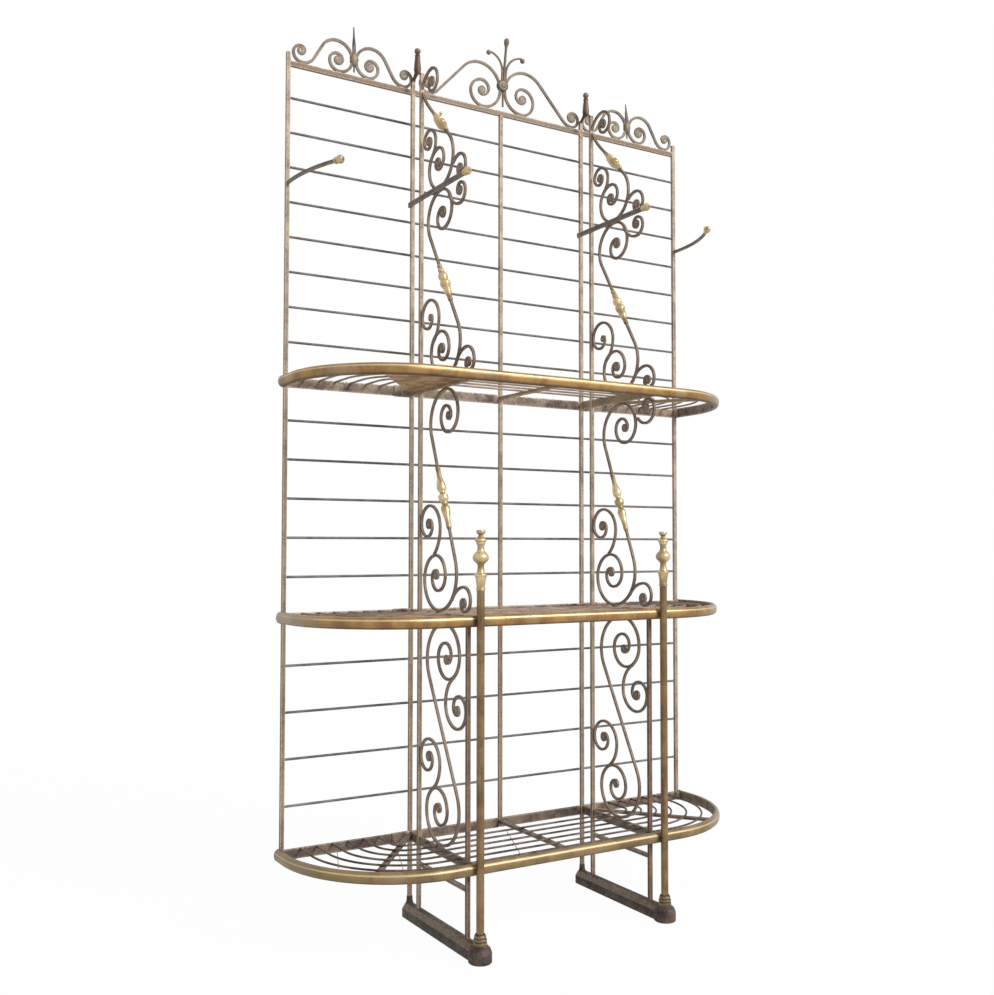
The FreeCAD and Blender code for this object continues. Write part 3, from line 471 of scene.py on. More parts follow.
def main_scrolls():
    """The four long bars of a bracket, keyed by bay."""
    reach, radii = LOWER_VOLUTE
    head = ((BAY_FRONT - reach, BAYS["lower"][1] - HALF_SCROLL - radii[0]), radii)
    paths = {
        "lower": s_scroll(head, foot_end("lower", LOWER_VOLUTE)),
        "middle": s_scroll(head_end("middle", MIDDLE_HEAD), foot_end("middle", MIDDLE_FOOT)),
        "upper": s_scroll(head_end("upper", UPPER_HEAD), foot_end("upper", UPPER_FOOT)),
    }
    lead_radius, lead_slope, run_slope = TOP_LEAD
    centre, radii = foot_end("top", TOP_VOLUTE)
    entry = polar(centre, radii[0], QUARTER - run_slope)
    lead_length = lead_radius * (math.sin(run_slope + lead_slope) - math.sin(run_slope))
    run = (entry[0] - BAY_BACK - lead_length) / math.cos(run_slope)
    start = polar(entry, run, math.pi - run_slope)
    lead = reverse(wind(start, math.pi - run_slope, -1, (lead_radius,), lead_slope / QUARTER))
    paths["top"] = lead + [("line", start, entry)] + volute(entry, -run_slope, -1, radii, math.pi)
    return paths


def small_scrolls(side):
    """The curls of a bracket, each growing out of a long bar or an upright."""
    paths = {"lower": [], "middle": [], "upper": [], "top": []}
    for bay, size, heading, turn in (
            ("lower", LOWER_CURL, QUARTER, 1), ("middle", MIDDLE_BACK_CURL, QUARTER, 1),
            ("middle", MIDDLE_FRONT_CURL, 0.0, -1), ("upper", UPPER_BACK_CURL, QUARTER, 1),
            ("upper", UPPER_FRONT_CURL, 0.0, -1), ("top", TOP_BACK_CURL, QUARTER, 1),
            ("top", TOP_FRONT_CURL, 0.0, -1)):
        paths[bay].append(curl((BAY_BACK + size[0], BAYS[bay][0] + size[1]), heading, turn, size))
    centre = ((BAY_BACK + BAY_FRONT) / 2, sum(BAYS["lower"]) / 2)
    paths["lower"].append(turned_over(paths["lower"][0], centre))
    for bay, size in [("upper", ARM_CURL)] + ([("middle", HUNG_CURL)] if side > 0 else []):
        paths[bay].append(curl((BAY_BACK + size[0], BAYS[bay][1] - size[1]), 0.0, 1, size))
    point = (BAY_BACK + STILE_CURL[0], RAIL_TOP + STILE_CURL[1])
    paths["top"].append(curl(point, 0.0, -1, STILE_CURL))
    return paths


def thinned(left, tail, thin):
    """Scale of a section that falls evenly to thin over the tail, by the length left."""
    return thin + (1 - thin) * np.clip(left / tail, 0, 1)


# Brass knops on the straight runs: length, slide down the run, and (share of length, radius).
KNOPS = {
    "middle": (162.0, 0.0, (
        (0, 4.6), (.04, 6), (.08, 5.4), (.17, 5.6), (.3, 10.2), (.36, 10.9), (.44, 6.2), (.46, 8.2),
        (.48, 11.8), (.53, 11.6), (.6, 6.6), (.68, 10.6), (.89, 6), (.95, 6.4), (1, 4.6))),
    "upper": (114.0, 12.0, (
        (0, 4.6), (.05, 6.2), (.1, 5.4), (.15, 7.2), (.2, 7), (.24, 6.2), (.29, 10.2), (.34, 11.4),
        (.39, 10.4), (.42, 8), (.45, 7.9), (.49, 11.4), (.54, 12.4), (.59, 11.2), (.62, 8.4),
        (.66, 9.6), (.72, 9.2), (.9, 5.6), (.96, 6), (1, 4.6))),
    "top": (88.0, 6.0, (
        (0, 4.8), (.1, 5.8), (.18, 7.2), (.24, 9.2), (.3, 10.6), (.33, 9.4), (.37, 10.9), (.44, 11.6),
        (.47, 10.2), (.51, 11.9), (.6, 12.2), (.66, 11.6), (.69, 10.2), (.74, 9.6), (.86, 7),
        (.92, 7.4), (1, 4.6))),
}
# The thumbscrew's turning, its place as a share of its knop, and how far out it begins.
THUMBSCREW = ((0, 1.8), (5, 1.9), (7, 3.2), (9.5, 4.0), (12, 3.2), (13.5, 1.0))
SCREW_SHARE, SCREW_OUT = 0.36, 7.0


# ------------------------------------------------------------------ finishes
def srgb(red, green, blue):
    """The scene's linear colour for a display colour given in 0 to 255."""
    return tuple(((part / 255 + 0.055) / 1.055) ** 2.4 for part in (red, green, blue))


class Term:
    """A socket that takes part in arithmetic: each sign adds a Math node to its finish."""

    def __init__(self, finish, socket):
        self.finish, self.socket = finish, socket

    def math(self, operation, *others):
        """One Math node: the operation on this value and the others."""
        inputs = dict(enumerate((self,) + others))
        return self.finish.node("Math", {"operation": operation}, inputs)

    def __add__(self, other):
        return self.math("ADD", other)

    def __sub__(self, other):
        return self.math("SUBTRACT", other)

    def __mul__(self, other):
        return self.math("MULTIPLY", other)

    def __rsub__(self, other):
        return self.finish.node("Math", {"operation": "SUBTRACT"}, {0: other, 1: self})

    __radd__, __rmul__ = __add__, __mul__

    def between(self, low, high):
        """0 below low, 1 above high, and smooth between."""
        settings = {"interpolation_type": "SMOOTHSTEP"}
        inputs = {"Value": self, "From Min": low, "From Max": high}
        return self.finish.node("MapRange", settings, inputs)


class Finish:
    """The nodes of a material or of the world, under construction."""

    def __init__(self, owner):
        owner.use_nodes = True
        self.owner, self.tree = owner, owner.node_tree
        self.tree.nodes.clear()

    @cached_property
    def place(self):
        """The Object coordinates, which are metres of the frame."""
        return self.node("TexCoord", output="Object")

    def node(self, kind, settings=(), inputs=(), output=0):
        """Adds a node: its settings are set first, then the values or links of its sockets."""
        made = self.tree.nodes.new("ShaderNode" + kind)
        for name, value in dict(settings).items():
            setattr(made, name, value)
        for name, value in dict(inputs).items():
            if isinstance(value, Term):
                self.tree.links.new(value.socket, made.inputs[name])
            else:
                made.inputs[name].default_value = value
        return Term(self, made.outputs[output]) if made.outputs else None

    def coordinate(self, axis):
        """The place along X, Y or Z, in metres."""
        return self.node("SeparateXYZ", {}, {0: self.place}, output=axis)

    def attribute(self, name):
        """A value that the mesh carries at its points."""
        return self.node("Attribute", {"attribute_name": name}, output="Fac")

    def noise(self, scale, detail, rough, distortion=0.0, place=None):
        """Cloud of values near one half: scale is in clouds to the metre."""
        inputs = {"Vector": place or self.place, "Scale": scale, "Detail": detail,
                  "Roughness": rough, "Distortion": distortion}
        return self.node("TexNoise", {}, inputs)

    def mix(self, share, first, second):
        """Colours mixed by a share, with the second laid over the first."""
        paint = [c if isinstance(c, Term) else (*c[:3], 1.0) for c in (first, second)]
        inputs = {0: share, 6: paint[0], 7: paint[1]}
        return self.node("Mix", {"data_type": "RGBA"}, inputs, output=2)

    def close(self, colour, roughness, metallic, bump, depth):
        """Ends the finish in a Principled surface, with bumps of the given depth in metres."""
        normal = self.node("Bump", {}, {"Height": bump, "Distance": depth, "Strength": 1.0})
        inputs = {"Base Color": colour, "Roughness": roughness, "Metallic": metallic,
                  "Normal": normal}
        surface = self.node("BsdfPrincipled", {}, inputs)
        self.node("OutputMaterial", {}, {"Surface": surface})
        return self.owner


def worn_iron(name, base, deep, rubbed, metal=0.25, edges=0.7, patches=0.5, low=None, wings=None,
              mottle=0.0):
    """Old painted iron: two tones clouded together, rust in spots, edges rubbed to a
    paler tone, where the worn value plus a fine cloud passes a limit.  If they are given,
    a low tone comes in near the floor and on the left, a wings tone beyond the brackets,
    and dark spots."""
    finish = Finish(bpy.data.materials.new(name))
    cloud = finish.noise(26, 5, 0.62)
    fine = finish.noise(240, 4, 0.6)
    speck = finish.noise(1100, 2, 0.5)
    tone = finish.mix(cloud.between(0.36, 0.66), base, deep)
    tone = finish.mix(fine.between(0.45, 0.7) * 0.5, tone, deep)
    spots = finish.noise(60, 6, 0.7, 0.4).between(0.60 - 0.1 * patches, 0.74 - 0.1 * patches)
    tone = finish.mix(spots * 0.75, tone, bpy.context.scene.rack_colours.rust)
    if low:
        rise = finish.coordinate("Z") + finish.coordinate("X") + cloud * 0.4
        foot = 1 - rise.between(0.6, 1.5)
        tone = finish.mix(foot * 0.6, tone, low)
    if wings:
        aside = finish.coordinate("X").math("ABSOLUTE") + fine * 0.02
        limit = BRACKET_X * MM
        tone = finish.mix(aside.between(limit, limit + 0.02) * 0.7, tone, wings)
    if mottle:
        spots = finish.noise(150, 5, 0.7).between(0.52, 0.62)
        tone = finish.mix(spots * mottle, tone, deep)
    wear = (finish.attribute("worn") * 0.55 + fine * 0.6).between(0.70, 0.9)
    tone = finish.mix(wear * edges, tone, rubbed)
    tone = finish.mix(speck.between(0.55, 0.75) * 0.25, tone, rubbed)
    rough = 0.62 - wear * 0.16 + spots * 0.15
    return finish.close(tone, rough, metal, fine * 0.7 + speck * 0.3, 0.0007)


def aged_brass(name, gold, dull, dark, shine=0.38, patina_and_shade_share=0.8, metal=0.85, pale=None, pale_left=0.0,
               light=None, streak=None):
    """Brass with a clouded patina, brown where the worn value is low: patina in grooves, and on the
    edging painted shade towards its foot.  If tones are given, it gets a painted highlight where the worn
    value is highest, is streaked along its height, and is pale in patches and towards its right end, or
    both ends."""
    finish = Finish(bpy.data.materials.new(name))
    cloud = finish.noise(22, 5, 0.6)
    fine = finish.noise(310, 4, 0.62)
    speck = finish.noise(1300, 2, 0.5)
    height = finish.attribute("worn")
    tone = finish.mix(cloud.between(0.38, 0.66) * 0.8, gold, dull)
    tone = finish.mix(fine.between(0.5, 0.72) * 0.45, tone, dull)
    # Brown where the worn value is low: patina in the grooves of turned pieces, and on the edging painted
    # shade towards its foot.
    hollow_patina_and_shade = 1 - (height + fine * 0.3).between(0.12, 0.62)
    tone = finish.mix(hollow_patina_and_shade * patina_and_shade_share, tone, dark)
    tone = finish.mix(speck.between(0.62, 0.8) * 0.4, tone, dark)
    if streak:
        drawn = finish.node("Mapping", {}, {"Vector": finish.place, "Scale": (90, 90, 7)})
        streaks = finish.noise(1, 4, 0.6, place=drawn)
        tone = finish.mix(streaks.between(0.5, 0.66) * 0.6, tone, streak)
        tone = finish.mix((1 - streaks).between(0.56, 0.7) * 0.5, tone, dark)
    # Painted highlight: a cream band where the worn value is highest, along the top of the edging.
    if light:
        tone = finish.mix((height + fine * 0.16).between(0.92, 1.06) * 0.75, tone, light)
    if pale:
        along = finish.coordinate("X")
        blur = cloud * 0.14 + speck * 0.06
        right = (along + blur).between(0.49, 0.66)
        left = (blur - along).between(0.65, 0.7)
        patch = finish.noise(7, 3, 0.5).between(0.56, 0.66)
        share = (right * 0.8 + left * pale_left + patch * 0.3).math("MINIMUM", 0.85)
        tone = finish.mix(share, tone, pale)
    rough = shine + hollow_patina_and_shade * 0.3 + cloud * 0.12
    return finish.close(tone, rough, metal, fine * 0.6 + speck * 0.4, 0.0004)


class RackColours(bpy.types.PropertyGroup):
    """Tones of the finishes."""

    def tone(name, description, *parts):
        return bpy.props.FloatVectorProperty(name=name, description=description, size=3, subtype="COLOR",
                                             min=0.0, max=1.0, default=srgb(*parts))

    bar_light: tone("Bar", "Rubbed tan of the uprights", 186, 167, 143)
    bar_deep: tone("Bar, deep", "Deeper tone clouded into the uprights", 126, 109, 90)
    bar_low: tone("Bar, low", "Reddish brown of the uprights near the floor", 112, 88, 68)
    post: tone("Front posts", "Reddish brown of the front posts", 128, 98, 74)
    under: tone("Under flats", "Golden tan of the flats below the upper shelves", 168, 142, 108)
    under_brown: tone("Golden brown", "Golden brown of the corner plate", 206, 158, 98)
    rail_end: tone("Top rail, ends", "Brown of the top rail beyond the brackets", 126, 102, 80)
    bar_edge: tone("Bar edges", "Bare metal on the edges of the bars", 214, 200, 178)
    rail: tone("Top rail", "Pinkish tan of the top rail", 138, 120, 106)
    rust: tone("Rust", "Rust spots on the iron", 118, 78, 52)
    rod: tone("Rods", "Dark cross rods", 126, 121, 117)
    rod_deep: tone("Rods, deep", "Deeper tone of the cross rods", 88, 82, 79)
    # The upper shelves' wires are a lit copy of the wire: their lighter tan is painted light from above.
    wire: tone("Wires", "Tan of the wires of the two upper shelves", 168, 144, 122)
    scroll: tone("Scrolls", "Dark bars of the bracket scrolls", 127, 109, 98)
    scroll_deep: tone("Scrolls, deep", "Deeper tone of the bracket scrolls", 80, 66, 61)
    scroll_edge: tone("Scroll edges", "Tan of the rubbed scroll edges", 182, 160, 130)
    crest: tone("Crest", "Paler bars of the crest", 134, 122, 109)
    crest_deep: tone("Crest, deep", "Deeper tone of the crest", 92, 83, 74)
    strip: tone("Strips", "Mottled flat strips and rims", 136, 117, 98)
    pale_strip: tone("Upper strips", "Mottled strips of the two upper shelves", 156, 138, 118)
    cast: tone("Feet", "Worn cast iron of the feet", 92, 79, 70)
    cast_deep: tone("Feet, deep", "Deeper tone of the feet", 40, 33, 30)
    brass: tone("Brass", "Aged gold of the edging", 168, 132, 80)
    brass_dull: tone("Brass, dull", "Patina of the edging", 122, 90, 56)
    # The edging's cream tone is a painted highlight along its top.
    brass_light: tone("Brass, rubbed", "Cream of the rubbed top of the edging", 226, 205, 158)
    brass_pale: tone("Brass, pale", "Pale rubbed ends of the edging", 156, 146, 126)
    # The dark brass tone is also laid on the edging's lower face as painted shade.
    brass_dark: tone("Brass, dark", "Brown in the grooves of the brass", 70, 48, 32)
    low_brass: tone("Brass, low", "Olive brown of the lowest edging", 146, 121, 84)
    low_brass_dull: tone("Brass, low and dull", "Patina of the lowest edging", 106, 88, 62)
    low_pale: tone("Brass, low and pale", "Pale ends of the lowest edging", 160, 148, 126)
    base: tone("Column bases", "Olive brown of the column bases", 124, 106, 78)
    base_dull: tone("Column bases, dull", "Patina of the column bases", 76, 64, 50)
    low_wire: tone("Low wires", "Dark brown wires of the lowest shelf", 122, 107, 97)
    column: tone("Columns", "Golden brown of the columns", 142, 120, 86)
    column_dull: tone("Columns, dull", "Patina of the columns", 104, 82, 58)
    column_red: tone("Columns, red", "Reddish streaks of the columns", 140, 96, 66)
    fitting: tone("Crest fittings", "Olive grey of rosette, bosses and plume", 134, 119, 95)
    fitting_dull: tone("Crest fittings, dull", "Patina of the crest fittings", 102, 88, 72)
    saddle: tone("Saddles", "Dark brown of the saddle finials", 112, 88, 66)
    saddle_dull: tone("Saddles, dull", "Patina of the saddle finials", 76, 56, 44)
    bright: tone("Bright brass", "Gold of knobs and balls", 214, 192, 148)
    bright_dull: tone("Bright brass, dull", "Patina of the knobs", 150, 128, 92)

    del tone


class RackSizes(bpy.types.PropertyGroup):
    """Small sizes that the frame doesn't give, in metres."""

    def size(name, description, millimetres):
        return bpy.props.FloatProperty(name=name, description=description, default=millimetres * MM,
                                       min=0.0001, max=0.2, unit="LENGTH", subtype="DISTANCE")

    scroll_bar: size("Scroll bar", "Width of the scroll bars in their plane", 6.9)
    scroll_depth: size("Scroll depth", "Depth of the scroll bars across their plane", 6.0)
    crest_bar: size("Crest bar", "Width of the crest bars", 7.0)
    roll: size("Rolled ends", "Largest radius at which an end begins to roll up", 10.5)
    wire: size("Shelf wires", "Thickness of the shelf wires", 5.0)
    tie_wire: size("Tie wires", "Thickness of the loose ties on the bottom shelf", 1.6)
    rod: size("Cross rods", "Thickness of the cross rods", 6.0)
    soft_edge: size("Edge rounding", "Rounding along the edges of square bars", 0.9)

    del size


class RackLight(bpy.types.PropertyGroup):
    """Studio light."""

    def strength(name, description, default):
        return bpy.props.FloatProperty(name=name, description=description, default=default, min=0.0)

    sun: strength("Key light", "Strength of the key light", 2.6)
    fill: strength("Fill", "Level of the light from all round", 0.42)
    white: strength("Background", "Level of the background", 1.0)

    del strength


def size_mm(name):
    """A small size, as it is set in the scene, in millimetres."""
    return getattr(bpy.context.scene.rack_sizes, name) / MM


# Each finish: how it is made, its tones in that function's order, and its other values,
# of which a word is the name of one more tone.
FINISHES = {
    "bar_iron": (worn_iron, ("bar_light", "bar_deep", "bar_edge"), dict(patches=0.2, low="bar_low")),
    "post_iron": (worn_iron, ("post", "scroll_deep", "bar_light"), dict(edges=0.5, patches=0.8)),
    "under_iron": (worn_iron, ("under", "bar_deep", "bar_edge"), dict(edges=0.5, patches=0.4)),
    "rod_iron": (worn_iron, ("rod", "rod_deep", "strip"), dict(edges=0.4)),
    "scroll_iron": (worn_iron, ("scroll", "scroll_deep", "scroll_edge"), dict(edges=0.8)),
    "crest_iron": (worn_iron, ("crest", "crest_deep", "bar_light"), dict(edges=0.7)),
    "spike_iron": (worn_iron, ("rod", "rod_deep", "bar_light"), dict(edges=0.5)),
    "strip_iron": (worn_iron, ("strip", "scroll_deep", "bar_light"), dict(edges=0.6, patches=0.4)),
    "pale_strip_iron": (worn_iron, ("pale_strip", "scroll_deep", "bar_edge"),
                        dict(edges=0.6, patches=0.6, mottle=0.45)),
    "cast_iron": (worn_iron, ("cast", "cast_deep", "strip"), dict(metal=0.4, edges=0.9, mottle=0.5)),
    # Lit copy of the wire for the two upper shelves: its lighter tan is painted light from above.
    "wire_iron": (worn_iron, ("wire", "scroll", "bar_light"), dict(edges=0.4, patches=0.2)),
    "rail_iron": (worn_iron, ("rail", "bar_deep", "bar_edge"), dict(patches=0.4, wings="rail_end")),
    "arm_iron": (worn_iron, ("scroll", "rod_deep", "bar_light"), dict(edges=0.5)),
    "edging_brass": (aged_brass, ("brass", "brass_dull", "brass_dark"),
                     dict(shine=0.32, metal=0.45, pale="brass_pale", light="brass_light")),
    "middle_edging_brass": (aged_brass, ("brass", "brass_dull", "brass_dark"),
                            dict(shine=0.32, metal=0.45, pale="brass_pale", pale_left=0.75,
                                 light="brass_light")),
    "column_brass": (aged_brass, ("column", "column_dull", "brass_dark"),
                     dict(shine=0.34, streak="column_red")),
    "base_brass": (aged_brass, ("base", "base_dull", "cast_deep"), dict(shine=0.36, metal=0.5)),
    "low_edging_brass": (aged_brass, ("low_brass", "low_brass_dull", "brass_dark"),
                         dict(shine=0.38, metal=0.4, pale="low_pale", pale_left=0.4,
                              light="brass_light")),
    "low_wire_iron": (worn_iron, ("low_wire", "cast_deep", "strip"), dict(edges=0.4)),
    "dome_brass": (aged_brass, ("brass_pale", "fitting", "brass_dark"), dict(shine=0.4, metal=0.3)),
    "plate_iron": (worn_iron, ("under_brown", "brass_dull", "under"), dict(edges=0.5, patches=0.8)),
    "fitting_brass": (aged_brass, ("fitting", "fitting_dull", "brass_dark"), dict(shine=0.45, metal=0.3)),
    "saddle_brass": (aged_brass, ("saddle", "saddle_dull", "brass_dark"), dict(shine=0.42, metal=0.4)),
    "bright_brass": (aged_brass, ("bright", "bright_dull", "brass_dark"), dict(shine=0.28, patina_and_shade_share=0.6)),
}


def finish_of(name):
    """The material of a finish, made the first time that it is asked for."""
    known = bpy.data.materials.get(name)
    if known:
        return known
    tones = bpy.context.scene.rack_colours
    make, parts, details = FINISHES[name]
    details = {key: getattr(tones, value) if isinstance(value, str) else value
               for key, value in details.items()}
    return make(name, *[getattr(tones, part) for part in parts], **details)


# ------------------------------------------------------------------ the pieces
class RackPiece(bpy.types.Operator):
    """One group of like pieces of the rack, which execute makes."""

    bl_options = {"REGISTER", "UNDO"}


class RACK_OT_uprights(RackPiece):
    """Square uprights: a soft-edged square carried straight up each post's box."""

    bl_idname = "rack.uprights"
    bl_label = "Uprights and struts"

    def execute(self, context):
        for name in ("outer_stile", "inner_stile", "bracket_stile", "front_post"):
            for side in ("left", "right"):
                self.upright(name + "_" + side)
        self.upright("centre_stile")
        form = Form()
        low, high = box_mm("foot_struts")
        for side in (-1, 1):
            x0, x1 = side * BRACKET_X - HALF_STILE, side * BRACKET_X + HALF_STILE
            form.beam((x0, low[1], low[2]), (x1, high[1], high[2]), 1, size_mm("soft_edge"))
        form.piece("strut_bars", "bar_iron", ["foot_struts"], "iron_bar")
        return {"FINISHED"}

    def upright(self, node):
        """One upright that fills its node's box."""
        form = Form()
        form.beam(*box_mm(node), 2, size_mm("soft_edge"))
        finish = "post_iron" if node.startswith("front_post") else "bar_iron"
        form.piece(node + "_bar", finish, [node], "iron_bar")


ALL_STILES = (-OUTER_X, -BRACKET_X, 0.0, BRACKET_X, OUTER_X)
ROD_ROWS = {"lower": 4, "middle": 5, "upper": 8}


def spans(stiles):
    """The clear stretches between neighbouring uprights."""
    return [(a + HALF_STILE, b - HALF_STILE) for a, b in zip(stiles[:-1], stiles[1:])]


class RACK_OT_rods(RackPiece):
    """Cross rods: a circle carried along each clear stretch of a row, with rows evenly
    spaced between the lowest and the highest rod."""

    bl_idname = "rack.rods"
    bl_label = "Cross rods"

    def execute(self, context):
        radius = size_mm("rod") / 2
        for name, count in ROD_ROWS.items():
            low, high = box_mm("back_rods_" + name)
            form = Form()
            for z in np.linspace(low[2] + radius, high[2] - radius, count):
                for x0, x1 in spans(ALL_STILES):
                    form.bar(trace([("line", (x0, z), (x1, z))]), panel, round_section(radius))
            form.piece("rods_" + name, "rod_iron", ["back_rods_" + name], "iron_bar")
        return {"FINISHED"}


class RACK_OT_rails(RackPiece):
    """Flat rails of the back panel, their splices and the top rail, as soft-edged bars."""

    bl_idname = "rack.rails"
    bl_label = "Rails and splices"
    # A rivet's turning, and the places of the rivets as shares of the length of a splice.
    rivet, rivet_places = ((0, 3.4), (0.5, 3.3), (0.75, 2.2), (0.8, 0.4)), (0.22, 0.78)

    def execute(self, context):
        form = Form()
        low, high = box_mm("top_rail")
        for x0, x1 in spans((-OUTER_X, -BRACKET_X, BRACKET_X, OUTER_X)):
            form.beam((x0, low[1], low[2]), (x1, high[1], high[2]), 0, size_mm("soft_edge"))
        form.piece("top_rail_bars", "rail_iron", ["top_rail"], "iron_bar")
        for shelf in SHELVES:
            form = Form()
            low, high = box_mm("back_rail_" + shelf)
            for x0, x1 in spans(ALL_STILES):
                form.beam((x0, low[1], low[2]), (x1, high[1], high[2]), 0, 0.5)
            finish = "strip_iron" if shelf == "bottom" else "pale_strip_iron"
            form.piece("rail_strips_" + shelf, finish, ["back_rail_" + shelf], "iron_strip")
        self.splices()
        return {"FINISHED"}

    def splices(self):
        """Short plates in front of the strips, each with two domed rivets."""
        form = Form()
        low, high = box_mm("rail_splices")
        near = BRACKET_X + HALF_STILE
        half = (high[2] - low[2] - (SHELF_TOP["top"] - SHELF_TOP["bottom"])) / 2
        for shelf in SHELVES:
            middle = low[2] + half + SHELF_TOP[shelf] - SHELF_TOP["bottom"]
            for side in (-1, 1):
                ends = sorted((side * near, side * high[0]))
                form.beam((ends[0], low[1], middle - half), (ends[1], high[1], middle + half),
                          0, 0.5, 10)
                for share in self.rivet_places:
                    x = side * (near + (high[0] - near) * share)
                    foot = row(x, BACK_Y - low[1] - 0.4, middle)
                    form.turned(foot, (0, -1, 0), self.rivet, 12)
        form.piece("splice_plates", "pale_strip_iron", ["rail_splices"], "iron_strip")


# ------------------------------------------------------------------ shelves
def bow_path(half_width, front, radii, back=0.0):
    """Plan of a bow-ended band: side, corner arc, front, corner arc, side."""
    left, right = radii
    return [
        ("line", (-half_width, back), (-half_width, front - left)),
        ("arc", (left - half_width, front - left), left, math.pi, QUARTER),
        ("line", (left - half_width, front), (half_width - right, front)),
        ("arc", (half_width - right, front - right), right, QUARTER, 0.0),
        ("line", (half_width, front - right), (half_width, back)),
    ]


def band_path(shelf):
    """Where the brass edging meets the iron rim behind it."""
    radii = [radius - EDGING_DEPTH for radius in CORNERS[shelf]]
    return bow_path(SHELF_HALF - EDGING_DEPTH, SHELF_OUT - EDGING_DEPTH, radii)


EDGING_FINISH = {"bottom": "low_edging_brass", "middle": "middle_edging_brass", "top": "edging_brass"}
# Painted light of the edging at distances below its top, carried as its wear value: a painted highlight
# near the top and painted shade towards the foot, with a dip at the groove; and how deep its groove is
# and how far down.
EDGING_DROP = (0, 2.5, 6.5, 9, 14, 16.5, 19, 26)
EDGING_PAINTED_LIGHT = (0.45, 0.7, 1.0, 0.86, 0.55, 0.3, 0.42, 0.05)
GROOVE, GROOVE_DROP, GROOVE_WIDTH = 0.35, 16.5, 1.3


def edging_section():
    """A half round nose, as half an ellipse whose corners are squared a little, with a shallow groove low
    down; its wear value carries painted light, highest a little below the top as a painted highlight and
    falling to painted shade at the foot."""
    turn = np.linspace(0, math.pi, NOSE_STEPS)
    out = EDGING_DEPTH * np.sin(turn) ** 0.88
    drop = EDGING_HEIGHT / 2 * (1 - np.sign(np.cos(turn)) * np.abs(np.cos(turn)) ** 0.9)
    out -= GROOVE * np.exp(-((drop - GROOVE_DROP) / GROOVE_WIDTH) ** 2)
    # The wear value given here is painted light: a painted highlight near the top, painted shade at the
    # foot.
    return np.stack([out, -drop], -1), np.interp(drop, EDGING_DROP, EDGING_PAINTED_LIGHT)


class RACK_OT_edging(RackPiece):
    """Brass edging: a half round section carried round the bow of each shelf, and a
    squeezed ball at each end."""

    bl_idname = "rack.edging"
    bl_label = "Brass edging"
    # Half sizes of a dome, along, forward and up.
    dome = (13.0, 12.0, 14.6)

    def execute(self, context):
        section = edging_section()
        for shelf in SHELVES:
            form = Form()
            form.bar(trace(band_path(shelf), 0.04), level(SHELF_TOP[shelf]), section)
            form.piece("brass_band_" + shelf, EDGING_FINISH[shelf], ["edging_" + shelf], "brass")
        self.caps()
        return {"FINISHED"}

    def caps(self):
        """Domed ends: balls squeezed across the edging, behind its two ends."""
        angle = np.linspace(0.05, math.pi - 0.05, 13)
        depth, length, height = self.dome
        last = box_mm("edging_caps")[1][1] - BACK_Y
        for shelf in SHELVES:
            form = Form()
            for side in (-1, 1):
                z = SHELF_TOP[shelf] - EDGING_HEIGHT / 2
                centre = row(side * (SHELF_HALF - depth), length - last, z)
                form.turn(centre, (0, 1, 0), -np.cos(angle) * length, np.sin(angle) * depth, 28,
                          flat=height / depth, worn=0.8)
            if shelf == "middle":
                form.piece("end_domes_" + shelf, "dome_brass", ["edging_caps"], "brass")
            else:
                form.piece("end_domes_" + shelf, "fitting_brass", [], "brass")


class RACK_OT_rims(RackPiece):
    """Iron rims: a thin upright strip carried round the bow, inside the edging."""

    bl_idname = "rack.rims"
    bl_label = "Rims"

    def execute(self, context):
        for shelf in SHELVES:
            form = Form()
            section = soft_square(RIM_DEPTH, EDGING_HEIGHT, 0.6)
            plane = level(SHELF_TOP[shelf] - EDGING_HEIGHT / 2)
            form.bar(trace(band_path(shelf), 0.06), plane, section, aside=-RIM_DEPTH / 2)
            finish = "pale_strip_iron" if shelf == "top" else "strip_iron"
            form.piece("rim_strip_" + shelf, finish, ["rim_" + shelf], "iron_strip")
        return {"FINISHED"}


# The fixed corner about which the wires bend, along and forward, the outermost wire's reach
# from it, and their pitch.
WIRE_CORNER = (304.0, 70.0)
WIRE_REACH, WIRE_PITCH, WIRE_COUNT = 231.0, 39.0, 6
# Ties left on the bottom shelf, from and to, as distances along and forward.
TIES = (((-57, 127), (-133, 309)), ((-480, 87), (-523, 197)), ((-353, 135), (-413, 288)))


class RACK_OT_wires(RackPiece):
    """Shelf wires: a circle carried round bows about two fixed corners, one inside the
    other, and on the bottom shelf a few thin ties laid across them."""

    bl_idname = "rack.wires"
    bl_label = "Shelf wires"

    def execute(self, context):
        radius = size_mm("wire") / 2
        for shelf in SHELVES:
            form = Form()
            centre = WIRE_TOP[shelf] - radius
            for count in range(WIRE_COUNT):
                reach = WIRE_REACH - WIRE_PITCH * count
                path = bow_path(WIRE_CORNER[0] + reach, WIRE_CORNER[1] + reach, (reach, reach), 2.0)
                form.bar(trace(path, 0.07), level(centre), round_section(radius, 12))
            if shelf == "bottom":
                thin = size_mm("tie_wire") / 2
                plane = level(WIRE_TOP[shelf] + thin * 0.8)
                for start, end in TIES:
                    form.bar(trace([("line", start, end)]), plane, round_section(thin, 8))
            # The upper shelves take the lit copy of the wire, whose lighter tan is painted light from
            # above.
            finish = "low_wire_iron" if shelf == "bottom" else "wire_iron"
            form.piece("shelf_wires_" + shelf, finish, ["wires_" + shelf], "iron_wire")
        return {"FINISHED"}


